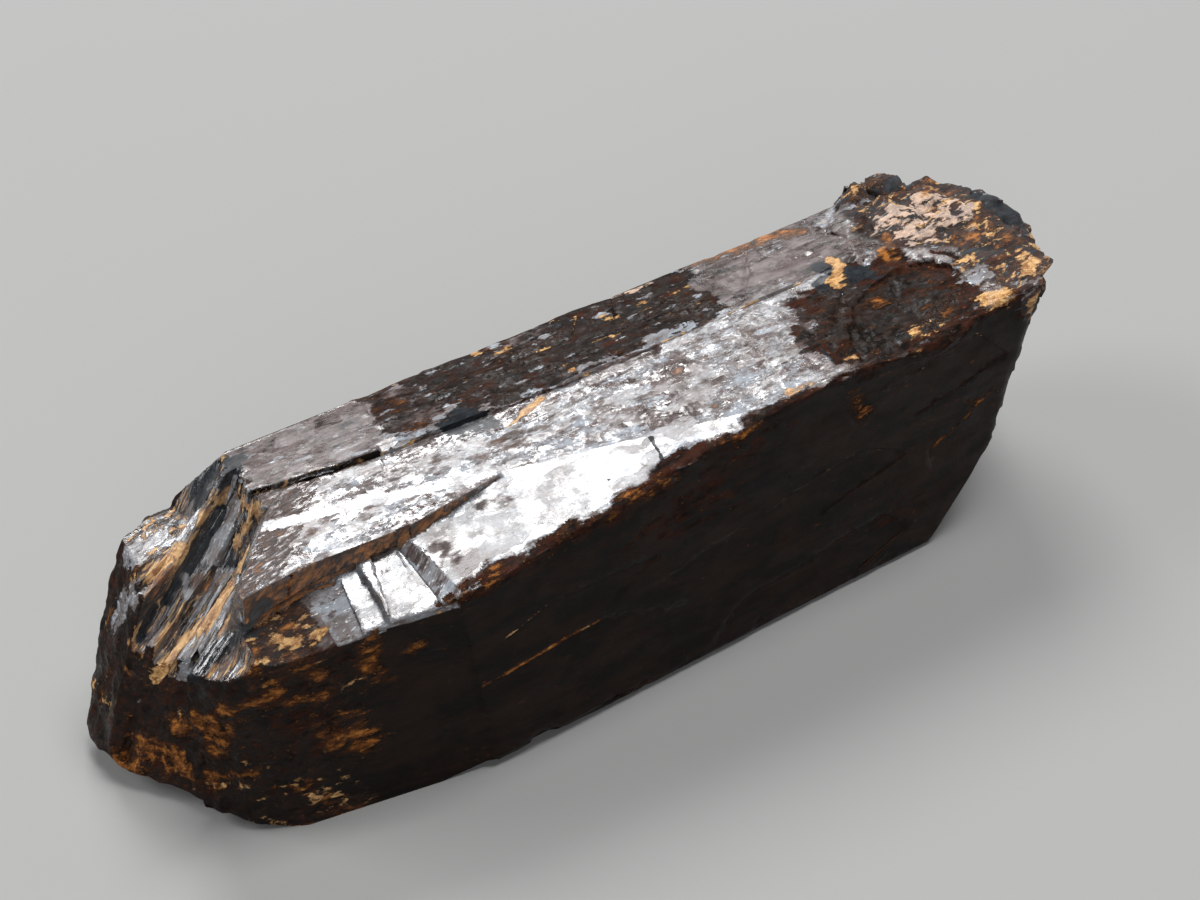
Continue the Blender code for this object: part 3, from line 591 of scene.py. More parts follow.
def carve(surface, area, terrace):
    """Moves the points out and in: low steps, splinters, ripples, crumbs and rubbed edges."""
    p, n = surface.points, surface.normals
    x, y, z = p.T
    q = blade_frame(p)
    # The shallow old breaks are nearly healed, and the crease is a rubbed-down slope.
    out = 0.75 * area.sunk + 0.6 * area.front
    above = np.clip(-facet_gap(p, MIDDLE_FACET), 0.0, 0.3) * (y > 3.0) * (x > WHOLE_TOP)
    past = (y - polyline(x, CREASE)) / (0.32 + 0.12 * noise(p, 1.2, 13))
    out -= above * ramp(past, 1.0, 0.0) * (past > -0.3) * area.up
    # Long low steps and shallow pits on the prism faces and the duller facets.
    field = cloud(p, (0.16, 0.8, 0.8), 3, 3) * 2.2
    steps = np.floor(field) + ramp(field - np.floor(field), 0.35, 0.65)
    dull = np.clip(area.middle + area.back - most(area, "bright plate slab block"), 0, 1)
    side = (1 - area.up) * (1 - most(area, "splintered scoop crusty"))
    out += steps * terrace * (0.5 * dull + 0.9 * side)
    spots = ramp(noise(p, (2.2, 3.4, 3.4), 23), 0.4, 0.75)
    out -= spots * 0.045 * dull * (1 - area.dim)
    out += area.dim * 0.05 * cloud(p, (1.2, 2.6, 2.6), 3, 25)
    # Splinters that run with the blades.
    ridges = noise(q, (0.45, 6.0, 2.6), 31) * 0.055 + noise(q, (1.1, 13.0, 5.0), 37) * 0.028
    out += area.splintered * (ridges + 0.035 * cloud(q, (1.2, 2.6, 2.6), 3, 43))
    out += area.slab_end * noise(q, (0.8, 8.0, 8.0), 39) * 0.03
    # The dirt on the floor beside the slab is crumbly, and so is the band under its edge.
    out += area.dirt * 0.06 * cloud(p, 3.0, 2, 49)
    out += area.band * 0.035 * noise(p, (0.8, 3.0, 7.0), 51)
    # The scoop is shallow and ripples, and the crust is lumpy.
    out += area.scoop * 0.05 * cloud(p, (1.2, 2.2, 2.2), 3, 53)
    sunk = np.clip(front_gap(p), 0, 1)
    out += area.scoop * sunk * (0.75 + 0.2 * cloud(p, (0.7, 1.0, 1.0), 2, 55))
    out += area.crusty * (0.1 - 0.18 * lump_gap(p, 1.9, 59) + 0.07 * cloud(p, 3.5, 2, 61))
    # The low faces of the splintered end are hackly.
    out += area.hackly * (0.08 * cloud(p, (0.9, 1.6, 1.6), 3, 67) + 0.045 * noise(q, (0.7, 5.0, 3.0), 69))
    # Worn edges.
    edge = ramp(-surface.hollow(rounds=2), 0.006, 0.025) * ramp(cloud(p, 1.6, 3, 71), -0.1, 0.6)
    out -= edge * 0.05 * (1 - 0.7 * area.slab) * (1 - area.flight)
    out -= area.rim * ramp(cloud(p, (1.2, 3.0, 3.0), 3, 73), 0.0, 0.5) * 0.06
    # The foot stays flat, and the scoop has no sharp brim.
    out *= ramp(z, 0.0, 0.25)
    before = surface.facing()
    smooth = surface.blurred(p, rounds=30) - p
    surface.points = p + smooth * area.brim[:, None] + n * out[:, None]
    surface.unfold(before, rounds=12)


# ---------------- painting


class Coat:
    """The masks of every point, and the patterns that break them up."""

    def __init__(self, surface):
        p = surface.points
        q = blade_frame(p)
        self.points, self.normals = p, surface.normals
        self.masks = {name: np.zeros(len(p)) for name in MASKS}
        self.hollow = surface.hollow(rounds=8)
        # groove is high in hollows and crest on ridges: crest brings painted highlights, groove brings clay
        # and painted shade.
        self.groove = ramp(self.hollow, 0.006, 0.04)
        self.crest = ramp(-self.hollow, 0.008, 0.04)
        self.streak = cloud(q, (0.55, 5.0, 2.4), 3, 83)
        self.thread = cloud(q, (0.7, 9.0, 4.5), 2, 84)
        self.blade = cloud(q, (0.3, 2.2, 1.0), 2, 85)
        self.patches = cloud(p, (0.55, 1.2, 1.2), 4, 89)
        self.rust = cloud(p, (0.8, 1.6, 1.6), 4, 97)
        self.grit = cloud(p, (2.2, 3.2, 3.2), 3, 99)

    def lay(self, where, **amounts):
        """Brings masks up to these amounts in a place."""
        for name, amount in amounts.items():
            self.masks[name] = np.maximum(self.masks[name], where * amount)

    def lift(self, share, *names):
        """Takes a share of some masks away."""
        for name in names:
            self.masks[name] = self.masks[name] * (1 - share)


def paint_blades(coat, area):
    """Silvery and blue-black blades with clay in the cracks between them. The silver is partly painted sheen,
    laid on blades that face up and brightest on their crests; the blue-black deepens in the hollows as
    painted shade.
    """
    streak, blade, thread = coat.streak, coat.blade, coat.thread
    painted_sheen = 0.45 * streak + 0.35 * blade + 0.4 * thread + 0.5 * coat.crest
    cracked = 0.6 * coat.groove + 0.5 * thread + 0.3 * streak - 0.3 * blade
    # Painted sheen: silver on the blades that face up, more along streaks and crests.
    coat.lay(area.splintered * ramp(coat.normals[:, 2], 0.1, 0.45), silver=0.36 + 0.6 * ramp(painted_sheen, 0.0, 0.5))
    # Painted shade: blue-black deepens in the hollows between blades; the clay in the cracks is real.
    coat.lay(
        area.splintered,
        smoke=ramp(-blade, -0.1, 0.4) * 0.7,
        gloom=0.12 + 0.48 * ramp(-0.5 * streak + 0.6 * blade + 0.3 * coat.groove, 0.1, 0.6),
        stain=0.2 + 0.5 * ramp(coat.rust + 0.3 * streak, 0.1, 0.75),
        clay=0.3 + 0.5 * ramp(cracked, 0.25, 0.8),
    )
    coat.lay(area.slab_end, smoke=0.8, silver=ramp(streak, -0.4, 0.4) * 0.75)


def paint_steps(coat, area):
    """The steps beside the slab, painted silver, the dirt on their floor and the stained band over them."""
    streak, rust = coat.streak, coat.rust
    # Painted reflection: the plates, ledges, head and risers are painted silver; on the risers it lightens
    # faces that would lie in shade, with a painted highlight on their crests.
    coat.lay(area.plate + area.ledge + area.head * ramp(streak, -0.5, 0.4) * 0.9, silver=1)
    coat.lay(area.flight + area.head, smoke=1)
    coat.lay(area.flight, silver=0.75 + 0.3 * coat.crest)
    # The floor's silver patches are partly painted reflection.
    coat.lay(area.floor * (1 - area.dirt), smoke=1, silver=ramp(coat.patches + streak * 0.5, 0.0, 0.6) * 0.6)
    crumbs = ramp(coat.grit, 0.1, 0.7)
    coat.lay(area.dirt, ruby=1, gloom=0.3, stain=0.4 + 0.3 * rust, clay=0.25 + 0.3 * crumbs)
    coat.lay(area.band, ruby=1, stain=0.95 + 0.3 * rust + 0.4 * noise(coat.points, (0.8, 3.0, 9.0), 51))


def paint_top(coat, area):
    """The bright, middle and back facets, the slab and the crease; their silver is partly painted reflection,
    and the crease has a painted highlight.
    """
    patches, rust, grit, streak = coat.patches, coat.rust, coat.grit, coat.streak
    x, y, _ = coat.points.T
    # Silver on the top facets is partly painted reflection of their glare and sheen.
    coat.lay(area.bright, silver=0.95 + 0.1 * patches)
    coat.lay(area.middle * (1 - area.slab), silver=np.clip(0.62 + 0.6 * patches, 0.15, 1))
    coat.lay(area.middle, stain=0.16 + 0.25 * ramp(rust, 0.2, 0.8))
    coat.lay(area.middle + area.bright, smoke=1)
    coat.lay(area.slab * (1 - area.margin), silver=np.clip(0.72 + 0.5 * patches, 0.2, 1))
    coat.lift(area.slab * 0.6 * egg(coat.points, DULL_SLAB), "silver")
    coat.lay(area.slab, smoke=1)
    coat.lay(
        area.margin,
        ruby=ramp(-streak, -0.2, 0.5) * 0.8,
        silver=ramp(streak, 0.0, 0.6) * 0.65,
        stain=0.38 + 0.3 * streak,
    )
    # A painted highlight along the crease: silver on its slope and wall, which would lie dark in shade; the
    # clay on the wall is real.
    crease_highlight = ramp(np.abs(y - polyline(x, CREASE) - 0.15), 0.25, 0.1) * area.up * (x > WHOLE_TOP)
    coat.lay(np.maximum(area.crease_wall, crease_highlight), silver=0.45 + 0.4 * rust + 0.3 * grit)
    coat.lay(area.crease_wall, clay=0.25 + 0.4 * ramp(grit + rust, 0.2, 0.8))
    coat.lay(area.back - area.dim, smoke=0.75 + 0.5 * patches, silver=0.2 + 0.2 * patches)
    coat.lay(area.back - area.block, stain=0.1 + 0.4 * ramp(rust, 0.3, 0.85))
    coat.lay(
        area.dim,
        smoke=0.06 + 0.5 * ramp(patches, 0.0, 0.6),
        ruby=0.32,
        silver=0.14 + 0.5 * ramp(0.7 * patches + 0.8 * grit, 0.3, 0.8),
        clay=0.38 * ramp(grit - 0.6 * rust, 0.1, 0.9),
    )


def paint_sides(coat, area):
    """The prism faces: the front one's stained lip and rim, the low faces and the hidden sides."""
    patches, rust, grit = coat.patches, coat.rust, coat.grit
    coat.lift(area.lip, "smoke", "silver")
    coat.lay(area.lip, ruby=1, stain=ramp(grit + 0.5 * rust, 0.1, 0.6) * 0.7)
    coat.lay(
        area.rim,
        ruby=ramp(rust, -0.4, 0.3) * 0.8,
        stain=ramp(rust + 0.4 * grit, 0.0, 0.6) * 0.7,
        clay=ramp(grit, 0.55, 0.85) * 0.7,
    )
    coat.lay(
        area.hackly,
        ruby=0.35 + 0.4 * patches,
        stain=0.1 + 0.7 * ramp(rust + 0.5 * coat.streak, 0.1, 0.9),
        clay=0.32 * ramp(rust - 0.5 * patches, 0.1, 0.8),
    )
    coat.lay(1 - area.up, ruby=ramp(cloud(coat.points, (0.25, 0.6, 0.6), 3, 107), 0.35, 0.8) * 0.5)
    backward, upward = coat.normals[:, 1], coat.normals[:, 2]
    hidden = np.maximum(ramp(backward, 0.2, 0.5), ramp(-upward, 0.1, 0.5)) * (1 - area.splintered)
    coat.lay(
        hidden * ramp(backward, -0.7, -0.4),
        ruby=0.4 + 0.6 * patches,
        stain=0.12 + 0.7 * ramp(0.8 * rust + 0.5 * patches, 0.2, 0.9),
        clay=0.55 * ramp(coat.groove + 0.6 * grit, 0.6, 1.2),
    )


def paint_far_end(coat, area):
    """The dark scoop and scar, and the crust in several colours, with painted shade in the hollows between
    its lumps.
    """
    p, patches, rust, grit = coat.points, coat.patches, coat.rust, coat.grit
    dark = most(area, "scoop scar")
    coat.lift(dark, "smoke", "silver", "stain")
    coat.lay(dark, ruby=1)
    coat.lift(dark * ramp(patches + 0.4 * grit, -0.3, 0.3), "ruby")
    coat.lay(dark, silver=0.05, stain=0.16 + 0.4 * ramp(rust + 0.5 * grit, 0.3, 0.9))
    # Painted shade: clay and pale crust thin out in the hollows between the crust's lumps.
    lump_shade = 1 - 0.6 * area.crusty * ramp(coat.hollow, 0.0, 0.035)
    pale = area.crusty * ramp(egg(p, PALE_CRUST) + 0.4 * rust + 0.25 * patches, 0.0, 0.65)
    coat.lift(area.crusty, "smoke", "silver", "stain", "clay")
    coat.lay(
        area.crusty,
        ruby=1,
        silver=0.15 + 0.3 * ramp(cloud(p, 0.9, 2, 111), 0.1, 0.6),
        gloom=0.25 + 0.4 * ramp(cloud(p, 1.0, 3, 117), 0.1, 0.6),
        stain=(0.34 + 0.4 * ramp(cloud(p, 0.8, 3, 103), 0.0, 0.6)) * (1 - 0.5 * pale),
        clay=(0.24 + 0.4 * ramp(cloud(p, 1.1, 3, 109), 0.1, 0.7)) * lump_shade,
    )
    coat.lay(pale, crust=(0.7 + 0.3 * grit) * lump_shade)


def paint_marks(coat):
    """Lays each mark over what is there, with a wobbly edge; a thin one is steadier."""
    p = coat.points
    warp = 0.35 * cloud(blade_frame(p), (1.4, 4.0, 3.0), 3, 113) + 0.25 * coat.grit
    flat_warp = 0.3 * coat.rust + 0.25 * coat.grit
    for kind, strength, reach, *line in MARKS:
        wide = reach > 0.1
        wobble = np.where(p[:, 0] < 5.5, warp, flat_warp) * (1.0 if wide else 0.3)
        here = strength * np.clip(1.4 - line_gap(p, line) / reach + wobble, 0.0, 1.0)
        here = here * (0.9 if wide and kind != "gloom" else 1.0)
        coat.lift(ramp(here, 0.2, 0.7), *MASKS[MASKS.index(kind) + 1 :])
        coat.lay(here, **{kind: 1})


def paint(surface, area):
    """How much of each mask every point has."""
    coat = Coat(surface)
    for part in (paint_blades, paint_steps, paint_top, paint_sides, paint_far_end):
        part(coat, area)
    paint_marks(coat)
    return coat.masks


# ---------------- shader node groups


class Tree:
    """Short calls for placing and linking nodes."""

    def __init__(self, tree):
        self.tree = tree
        self.column = 0

    def node(self, kind, settings=None, **inputs):
        """A new node. An underscore in an input's name stands for a space."""
        node = self.tree.nodes.new(kind)
        node.location = (self.column * 180, 0)
        self.column += 1
        for name, value in (settings or {}).items():
            setattr(node, name, value)
        for name, value in inputs.items():
            self.feed(node.inputs[name.replace("_", " ")], value)
        return node

    def feed(self, socket, value):
        """Links another node's output to an input, or sets its value."""
        if isinstance(value, bpy.types.NodeSocket):
            self.tree.links.new(value, socket)
        else:
            socket.default_value = value

    def filled(self, kind, settings, values):
        """A new node with its first inputs fed in order."""
        node = self.node(kind, settings)
        for socket, value in zip(node.inputs, values):
            self.feed(socket, value)
        return node

    def math(self, operation, one, other, clamp=False):
        settings = {"operation": operation, "use_clamp": clamp}
        return self.filled("ShaderNodeMath", settings, (one, other)).outputs[0]

    def vector(self, operation, one, other, output="Vector"):
        return self.filled("ShaderNodeVectorMath", {"operation": operation}, (one, other)).outputs[output]

    def span(self, value, low, high, to_low=0.0, to_high=1.0):
        """Carries value from low..high to to_low..to_high, with soft ends."""
        settings = {"interpolation_type": "SMOOTHSTEP"}
        ends = (value, low, high, to_low, to_high)
        return self.filled("ShaderNodeMapRange", settings, ends).outputs["Result"]

    def mix(self, share, one, other):
        """Mixes two colours. A Mix node's colour sockets are its inputs 6 and 7 and its output 2."""
        node = self.node("ShaderNodeMix", {"data_type": "RGBA"})
        for number, value in ((0, share), (6, one), (7, other)):
            self.feed(node.inputs[number], value)
        return node.outputs[2]

    def noise(self, vector, scale, detail, roughness, distortion=0.0):
        values = {"Scale": scale, "Detail": detail, "Roughness": roughness, "Distortion": distortion}
        return self.node("ShaderNodeTexNoise", Vector=vector, **values).outputs["Fac"]

    def group(self, group, **inputs):
        return self.node("ShaderNodeGroup", {"node_tree": group}, **inputs).outputs


def new_group(name, inputs, outputs):
    """A shader node group, its Tree and the values it is given. inputs and outputs hold the names of their
    sockets by kind, with a space between each two; whoever uses the group feeds every input."""
    group = bpy.data.node_groups.new(name, "ShaderNodeTree")
    for in_out, sockets in (("INPUT", inputs), ("OUTPUT", outputs)):
        for kind, labels in sockets.items():
            for label in labels.split():
                group.interface.new_socket(label, in_out=in_out, socket_type="NodeSocket" + kind)
    tree = Tree(group)
    return group, tree, tree.node("NodeGroupInput").outputs


def ragged_mask_group():
    """A mask from the mesh whose edge is broken up by fine noise, drawn out one way."""
    inputs = {"Vector": "Vector Stretch", "Float": "Mask Spread Edge"}
    group, tree, given = new_group("Ragged mask", inputs, {"Float": "Mask Core"})
    drawn = tree.vector("MULTIPLY", given["Vector"], given["Stretch"])
    grain = tree.noise(drawn, 1.0, 5.0, 0.65)
    shift = tree.math("MULTIPLY", tree.math("SUBTRACT", grain, 0.5), given["Spread"])
    value = tree.math("ADD", given["Mask"], tree.math("MULTIPLY", shift, 2.0))
    low = tree.math("SUBTRACT", 0.5, given["Edge"])
    mask = tree.span(value, low, tree.math("ADD", 0.5, given["Edge"]))
    mask = tree.math("MULTIPLY", mask, tree.span(given["Mask"], 0.0, 0.15))
    tree.node("NodeGroupOutput", Mask=mask, Core=tree.span(value, 0.62, 1.2))
    return group


def mottle_group():
    """Two colours mingled in blotches and finer streaks, with flecks of a third."""
    inputs = {"Vector": "Vector", "Color": "Colour Blotch Fleck", "Float": "Size Flecks"}
    group, tree, given = new_group("Mottle", inputs, {"Color": "Colour"})
    drawn = tree.vector("MULTIPLY", given["Vector"], (0.6, 1.5, 1.5))
    size = tree.math("DIVIDE", 1.0, given["Size"])
    blotch = tree.span(tree.noise(drawn, size, 5.0, 0.7, 0.4), 0.4, 0.62)
    colour = tree.mix(blotch, given["Colour"], given["Blotch"])
    speck = tree.noise(drawn, tree.math("MULTIPLY", size, 5.0), 3.0, 0.6)
    limit = tree.math("SUBTRACT", 0.75, tree.math("MULTIPLY", given["Flecks"], 0.3))
    fleck = tree.span(speck, limit, tree.math("ADD", limit, 0.06))
    tree.node("NodeGroupOutput", Colour=tree.mix(fleck, colour, given["Fleck"]))
    return group


def crystal_relief_group():
    """Heights in millimetres for a bump, of grooves drawn out one way and an uneven skin, and a haze."""
    inputs = {"Vector": "Vector Stretch", "Float": "Grooves Grain"}
    group, tree, given = new_group("Crystal relief", inputs, {"Float": "Height Haze"})
    drawn = tree.vector("MULTIPLY", given["Vector"], given["Stretch"])
    lines = tree.math("MULTIPLY", tree.noise(drawn, 1.0, 3.0, 0.6), given["Grooves"])
    skin = tree.math("MULTIPLY", tree.noise(given["Vector"], 7.0, 4.0, 0.7), given["Grain"])
    haze = tree.noise(given["Vector"], 1.3, 4.0, 0.65)
    tree.node("NodeGroupOutput", Height=tree.math("ADD", lines, skin), Haze=haze)
    return group


def cleavage_mosaic_group():
    """Small blocks that each lean a little their own way, as heights in millimetres, and a shade for each."""
    inputs = {"Vector": "Vector Stretch", "Float": "Lean"}
    group, tree, given = new_group("Cleavage mosaic", inputs, {"Float": "Height Shade"})
    half = (0.5,) * 3
    wander = tree.node("ShaderNodeTexNoise", Vector=given["Vector"], Scale=1.7, Detail=2.0).outputs["Color"]
    wander = tree.vector("MULTIPLY", tree.vector("SUBTRACT", wander, half), (0.5, 0.3, 0.3))
    placed = tree.vector("ADD", given["Vector"], wander)
    placed = tree.vector("MULTIPLY", placed, given["Stretch"])
    blocks = tree.node(
        "ShaderNodeTexVoronoi", {"distance": "CHEBYCHEV"}, Vector=placed, Scale=1.0, Randomness=0.9
    ).outputs
    offset = tree.vector("SUBTRACT", placed, blocks["Position"])
    lean = tree.vector("SUBTRACT", blocks["Color"], half)
    height = tree.math("MULTIPLY", tree.vector("DOT_PRODUCT", offset, lean, "Value"), given["Lean"])
    shade = tree.node("ShaderNodeSeparateColor", Color=blocks["Color"]).outputs["Red"]
    tree.node("NodeGroupOutput", Height=height, Shade=shade)
    return group


# ---------------- settings


def colour_property(name, description, *rgb):
    """A colour, opaque."""
    return FloatVectorProperty(
        name=name, description=description, default=(*rgb, 1.0), size=4, min=0.0, max=1.0, subtype="COLOR"
    )


def power_property(name, description, watts):
    """A light's power."""
    return FloatProperty(name=name, description=description, default=watts, unit="POWER")


class CrystalSizes(bpy.types.PropertyGroup):
    """The crystal's lengths."""

    facet_step: FloatProperty(
        name="Facet",
        description="Spacing of the net of facets before it is refined",
        default=0.000256,
        min=0.0001,
        unit="LENGTH",
    )
    terrace_height: FloatProperty(
        name="Terrace height",
        description="Height of one growth terrace on a prism face",
        default=0.00003,
        unit="LENGTH",
    )


class CrystalColours(bpy.types.PropertyGroup):
    """The colours of the crystal's layers."""

    body: colour_property("Body", "Near-black brown of the prism faces", 0.004, 0.0026, 0.002)
    body_warm: colour_property("Warm body", "Brown blotches in the body", 0.012, 0.0055, 0.0032)
    ruby: colour_property("Ruby", "Dark red-brown where the crystal is clearer", 0.032, 0.009, 0.004)
    smoke: colour_property("Smoke", "Clearer pinkish grey-brown blocks", 0.115, 0.09, 0.087)
    smoke_dark: colour_property("Dark smoke", "Darker patches in the clearer blocks", 0.05, 0.036, 0.033)
    # Silver and dull silver are partly painted reflection: the silvery grey of the cleavage faces is a paler
    # base colour standing in for reflected light, under their real gloss. Glint is painted glints.
    silver: colour_property("Silver", "Silvery cleavage faces", 0.25, 0.27, 0.3)
    silver_dull: colour_property("Dull silver", "Greyer patches of the cleavage faces", 0.12, 0.102, 0.098)
    glint: colour_property("Glint", "White flecks on the cleavage faces", 0.7, 0.72, 0.74)
    # Blue-black is partly the blades' own dark colour and partly painted shade in their cracks and hollows.
    gloom: colour_property("Blue-black", "Blades and cracks that look blue-black", 0.008, 0.009, 0.011)
    gloom_blue: colour_property("Slate", "Slate-blue streaks on the blue-black blades", 0.018, 0.022, 0.027)
    stain: colour_property("Iron stain", "Orange-brown iron stain", 0.34, 0.125, 0.026)
    stain_dark: colour_property("Dark stain", "Darker iron stain", 0.06, 0.02, 0.006)
    clay: colour_property("Clay", "Tan clay in the cracks", 0.5, 0.3, 0.125)
    clay_dark: colour_property("Dark clay", "Browner clay, stained by iron", 0.22, 0.095, 0.032)
    clay_pale: colour_property("Pale clay", "Cream lumps in the clay", 0.66, 0.5, 0.3)
    crust: colour_property("Crust", "Pinkish crust at the far end", 0.46, 0.32, 0.24)
    crust_grey: colour_property("Grey crust", "Greyer crust", 0.26, 0.2, 0.17)


class StageSettings(bpy.types.PropertyGroup):
    """The table top and the lights."""

    floor: colour_property("Floor", "Pale table top", 0.23, 0.23, 0.226)
    overhead: power_property("Overhead", "Power of the soft box overhead", 0.9)
    behind: power_property("Behind", "Power of the soft box behind", 0.77)
    left: power_property("Left", "Power of the soft box on the left", 0.5)
    fill: power_property("Fill", "Power of the soft box in front", 0.32)
    air: FloatProperty(name="Air", description="Strength of the light from all round", default=0.12)


# ---------------- finishes


def finish_material(finish, groups, colours):
    """One of the crystal's finishes: masks from the mesh lay colours over a dark body, with relief."""
    material = bpy.data.materials.new(finish.name)
    material.use_nodes = True
    material.node_tree.nodes.clear()
    tree = Tree(material.node_tree)
    place = tree.node("ShaderNodeTexCoord").outputs["Object"]
    place = tree.node("ShaderNodeMapping", Vector=place, Scale=(1 / MM,) * 3).outputs[0]
    drawn, stretch, torn = place, (0.35, 6.0, 6.0), (2.0, 4.5, 4.5)
    if finish.tilted:
        turned = (0.0, radians(RISE), radians(-TURN))
        drawn = tree.node("ShaderNodeMapping", Vector=place, Rotation=turned).outputs[0]
        stretch, torn = (0.4, 10.0, 5.5), (0.8, 11.0, 5.5)
    height, shades = 0.0, []
    for lean, size in zip(finish.blocks, ((0.8, 2.2, 2.2), (2.4, 5.0, 5.0), (8.0, 11.0, 11.0))):
        block = tree.group(groups["mosaic"], Vector=drawn, Stretch=size, Lean=lean)
        height = tree.math("ADD", height, block["Height"])
        shades.append(block["Shade"])
    shade = shades[0]
    masks, cores = {}, {}
    for number, mask in enumerate(MASKS):
        value = tree.node("ShaderNodeAttribute", {"attribute_name": mask}).outputs["Fac"]
        edge = 0.3 if mask in ("smoke", "ruby", "stain") else 0.1
        moved = tree.vector("ADD", drawn, (7.3 * number,) * 3)
        masks[mask], cores[mask] = tree.group(
            groups["ragged"], Vector=moved, Stretch=torn, Mask=value, Spread=1.4, Edge=edge
        )

    def mottled(names, size, flecks):
        """A mottle of three of the colours."""
        one, other, fleck = (getattr(colours, name) for name in names.split())
        return tree.group(
            groups["mottle"], Vector=drawn, Colour=one, Blotch=other, Fleck=fleck, Size=size, Flecks=flecks
        )[0]

    # The silver layer is partly painted reflection, with glint flecks as painted glints; the smoke layer
    # carries silver flecks too.
    silver = mottled("silver silver_dull glint", 0.5, 0.45)
    rust = mottled("stain stain_dark clay", 0.22, 0.25)
    layers = {
        "smoke": mottled("smoke smoke_dark silver", 0.7, 0.3),
        "ruby": mottled("ruby body stain", 0.4, 0.25),
        "silver": tree.mix(tree.span(shade, 0.35, 0.65, 0.0, 0.5), silver, colours.silver_dull),
        "gloom": mottled("gloom gloom_blue silver_dull", 0.3, 0.0),
        "stain": tree.mix(cores["stain"], mottled("stain_dark body stain", 0.3, 0.4), rust),
        "clay": mottled("clay clay_dark clay_pale", 0.2, 0.45),
        "crust": mottled("crust crust_grey clay_pale", 0.35, 0.4),
    }
    colour = mottled("body body_warm stain_dark", 1.0, 0.25)
    for mask in MASKS:
        colour = tree.mix(masks[mask], colour, layers[mask])
    # Blocks differ a little in gloss, and what is stained, dirty or cracked is dull.
    relief = tree.group(
        groups["relief"], Vector=drawn, Stretch=stretch, Grooves=finish.grooves, Grain=finish.grain
    )
    lean_gloss = tree.math("MULTIPLY", tree.math("SUBTRACT", shade, 0.5), 0.25)
    gloss = tree.span(tree.math("ADD", relief["Haze"], lean_gloss), 0.36, 0.64, *finish.roughness)
    dull = tree.math("MAXIMUM", masks["clay"], tree.math("MAXIMUM", masks["crust"], masks["stain"]))
    dark = masks["ruby"] if finish.tilted else tree.math("MAXIMUM", masks["ruby"], masks["gloom"])
    matt = tree.math("MULTIPLY", tree.math("MAXIMUM", dull, dark), 0.5)
    # Stain, clay and crust are crumbly.
    height = tree.math("ADD", height, relief["Height"])
    crumbs = tree.math("MULTIPLY", tree.noise(place, 9.0, 3.0, 0.6), tree.math("MULTIPLY", dull, 0.05))
    height = tree.math("ADD", height, crumbs)
    bump = tree.node("ShaderNodeBump", Strength=1.0, Distance=MM, Height=height)
    shader = tree.node(
        "ShaderNodeBsdfPrincipled",
        Base_Color=colour,
        Roughness=tree.math("ADD", gloss, matt, clamp=True),
        IOR=1.75,
        Specular_IOR_Level=finish.specular,
        Normal=bump.outputs[0],
    )
    tree.node("ShaderNodeOutputMaterial", Surface=shader.outputs[0])
    return material


# ---------------- operators


class CRYSTAL_OT_body(bpy.types.Operator):
    """Slice, carve and paint the crystal's body from the frame's solid"""

    bl_idname = "crystal.body"
    bl_label = "Crystal Body"

    def execute(self, context):
        sizes, colours = context.scene.crystal_sizes, context.scene.crystal_colours
        step = sizes.facet_step / MM * 1.0
        bm = sliced_copy(NODE, step)
        refine(bm, step, rounds=2)
        mesh = bpy.data.meshes.new("crystal_body")
        bm.to_mesh(mesh)
        bm.free()
        surface = Surface(mesh)
        area = regions(surface)
        carve(surface, area, sizes.terrace_height / MM)
        surface.write(paint(surface, area))
        # A facet takes the finish of its middle corner.
        kinds = np.zeros(len(surface.points), np.int64)
        for number, finish in enumerate(FINISHES):
            if finish.areas:
                kinds[most(area, finish.areas) > 0.5] = number
        inner = np.sort(kinds[surface.corners], axis=1)[:, 1]
        mesh.polygons.foreach_set("material_index", inner.astype(np.int32))
        groups = {
            "ragged": ragged_mask_group(),
            "mottle": mottle_group(),
            "relief": crystal_relief_group(),
            "mosaic": cleavage_mosaic_group(),
        }
        for finish in FINISHES:
            mesh.materials.append(finish_material(finish, groups, colours))
        mesh.shade_smooth()
        mesh.set_sharp_from_angle(angle=radians(24))
        mesh.transform(Matrix.Translation(FOOT * MM) @ Matrix.Diagonal((MM, MM, MM, 1.0)))
        obj = bpy.data.objects.new("crystal_body", mesh)
        context.scene.collection.objects.link(obj)
        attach(obj, BODY)
        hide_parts(NODE)
        return {"FINISHED"}


def stage_object(scene, name, data, place, way):
    """Puts a light or a camera in place, looking along way."""
    obj = bpy.data.objects.new(name, data)
    scene.collection.objects.link(obj)
    obj.location = place
    obj.rotation_mode = "QUATERNION"
    obj.rotation_quaternion = way.to_track_quat("-Z", "Y")
    return obj


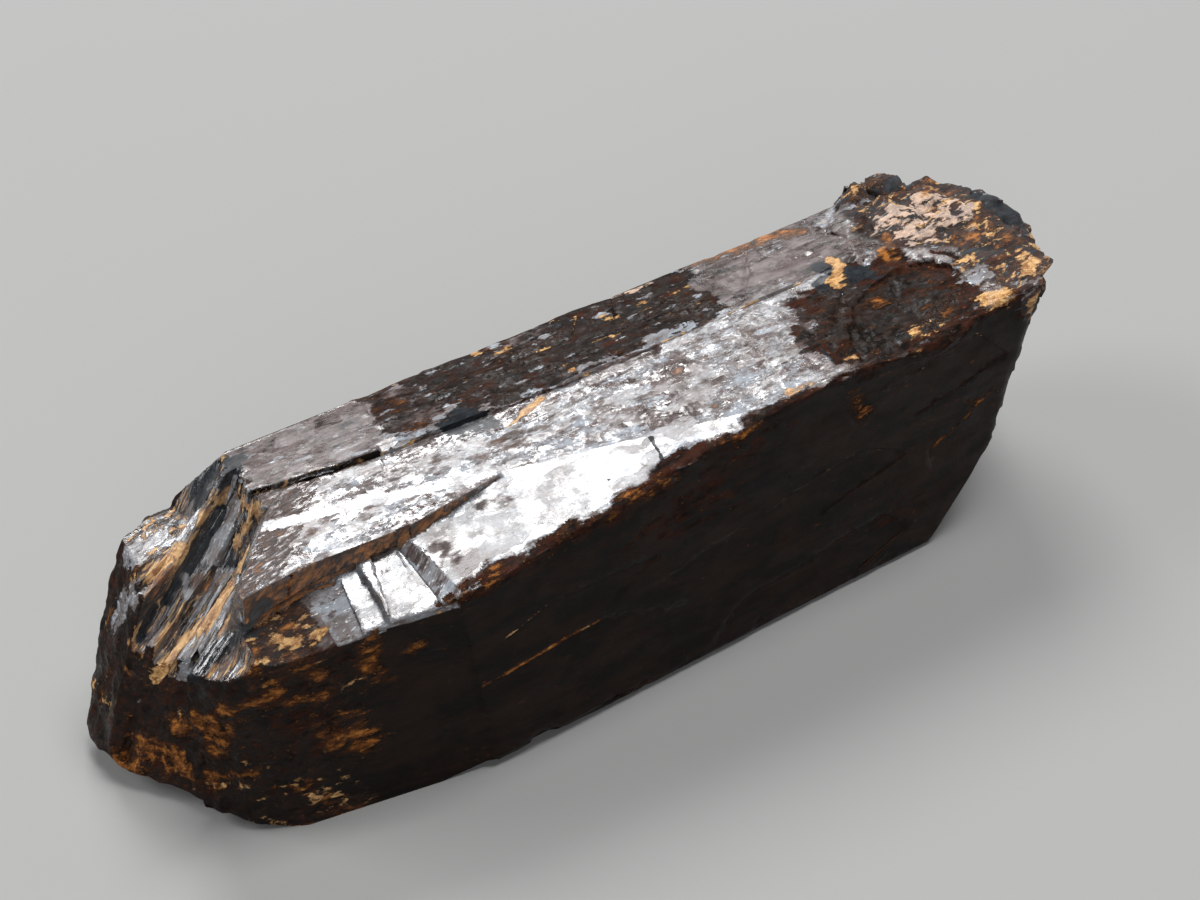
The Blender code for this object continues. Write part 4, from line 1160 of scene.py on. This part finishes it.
class CRYSTAL_OT_stage(bpy.types.Operator):
    """Make the pale floor, the soft boxes, the air light and the camera"""

    bl_idname = "crystal.stage"
    bl_label = "Stage"

    def execute(self, context):
        scene = context.scene
        stage = scene.crystal_stage
        bm = bmesh.new()
        bmesh.ops.create_grid(bm, x_segments=2, y_segments=2, size=0.6)
        mesh = bpy.data.meshes.new("floor")
        bm.to_mesh(mesh)
        bm.free()
        floor = bpy.data.objects.new("floor", mesh)
        scene.collection.objects.link(floor)
        material = bpy.data.materials.new("pale_table")
        material.use_nodes = True
        shader = material.node_tree.nodes["Principled BSDF"]
        shader.inputs["Base Color"].default_value = stage.floor
        shader.inputs["Roughness"].default_value = 0.9
        mesh.materials.append(material)
        for name, (way, width) in SOFT_BOXES.items():
            light = bpy.data.lights.new(name, "AREA")
            light.size = width
            light.energy = getattr(stage, name)
            place = AIM + Vector(way) * LIGHT_DISTANCE
            stage_object(scene, name, light, place, AIM - place)
        scene.view_settings.view_transform = "Standard"
        scene.world = bpy.data.worlds.new("air")
        scene.world.use_nodes = True
        air = scene.world.node_tree.nodes["Background"]
        air.inputs["Color"].default_value = (0.9, 0.95, 1.0, 1.0)
        air.inputs["Strength"].default_value = stage.air
        camera = bpy.data.cameras.new("camera")
        camera.lens = LENS
        camera.sensor_width = 36.0
        camera.clip_start = 0.002
        camera.clip_end = 5.0
        place = (FOOT + LOOK_AT) * MM + CAMERA_WAY * CAMERA_DISTANCE
        scene.camera = stage_object(scene, "camera", camera, place, -CAMERA_WAY)
        return {"FINISHED"}


class CRYSTAL_PT_panel(bpy.types.Panel):
    """The crystal's pieces"""

    bl_idname = "CRYSTAL_PT_panel"
    bl_label = "Xenotime Crystal"
    bl_space_type = "VIEW_3D"
    bl_region_type = "UI"
    bl_category = "Crystal"

    def draw(self, context):
        for operator in OPERATORS:
            self.layout.operator(operator.bl_idname)


GROUPS = (CrystalSizes, CrystalColours, StageSettings)
OPERATORS = (CRYSTAL_OT_body, CRYSTAL_OT_stage)


def register():
    """Add the settings, the operators and the panel."""
    for item in (*GROUPS, *OPERATORS, CRYSTAL_PT_panel):
        bpy.utils.register_class(item)
    bpy.types.Scene.crystal_sizes = PointerProperty(type=CrystalSizes)
    bpy.types.Scene.crystal_colours = PointerProperty(type=CrystalColours)
    bpy.types.Scene.crystal_stage = PointerProperty(type=StageSettings)


def unregister():
    """Take them away again."""
    del bpy.types.Scene.crystal_stage
    del bpy.types.Scene.crystal_colours
    del bpy.types.Scene.crystal_sizes
    for item in (CRYSTAL_PT_panel, *reversed(OPERATORS), *reversed(GROUPS)):
        bpy.utils.unregister_class(item)


def main():
    """Build the crystal and its stage."""
    register()
    bpy.ops.crystal.body()
    bpy.ops.crystal.stage()


if __name__ == "__main__":
    main()
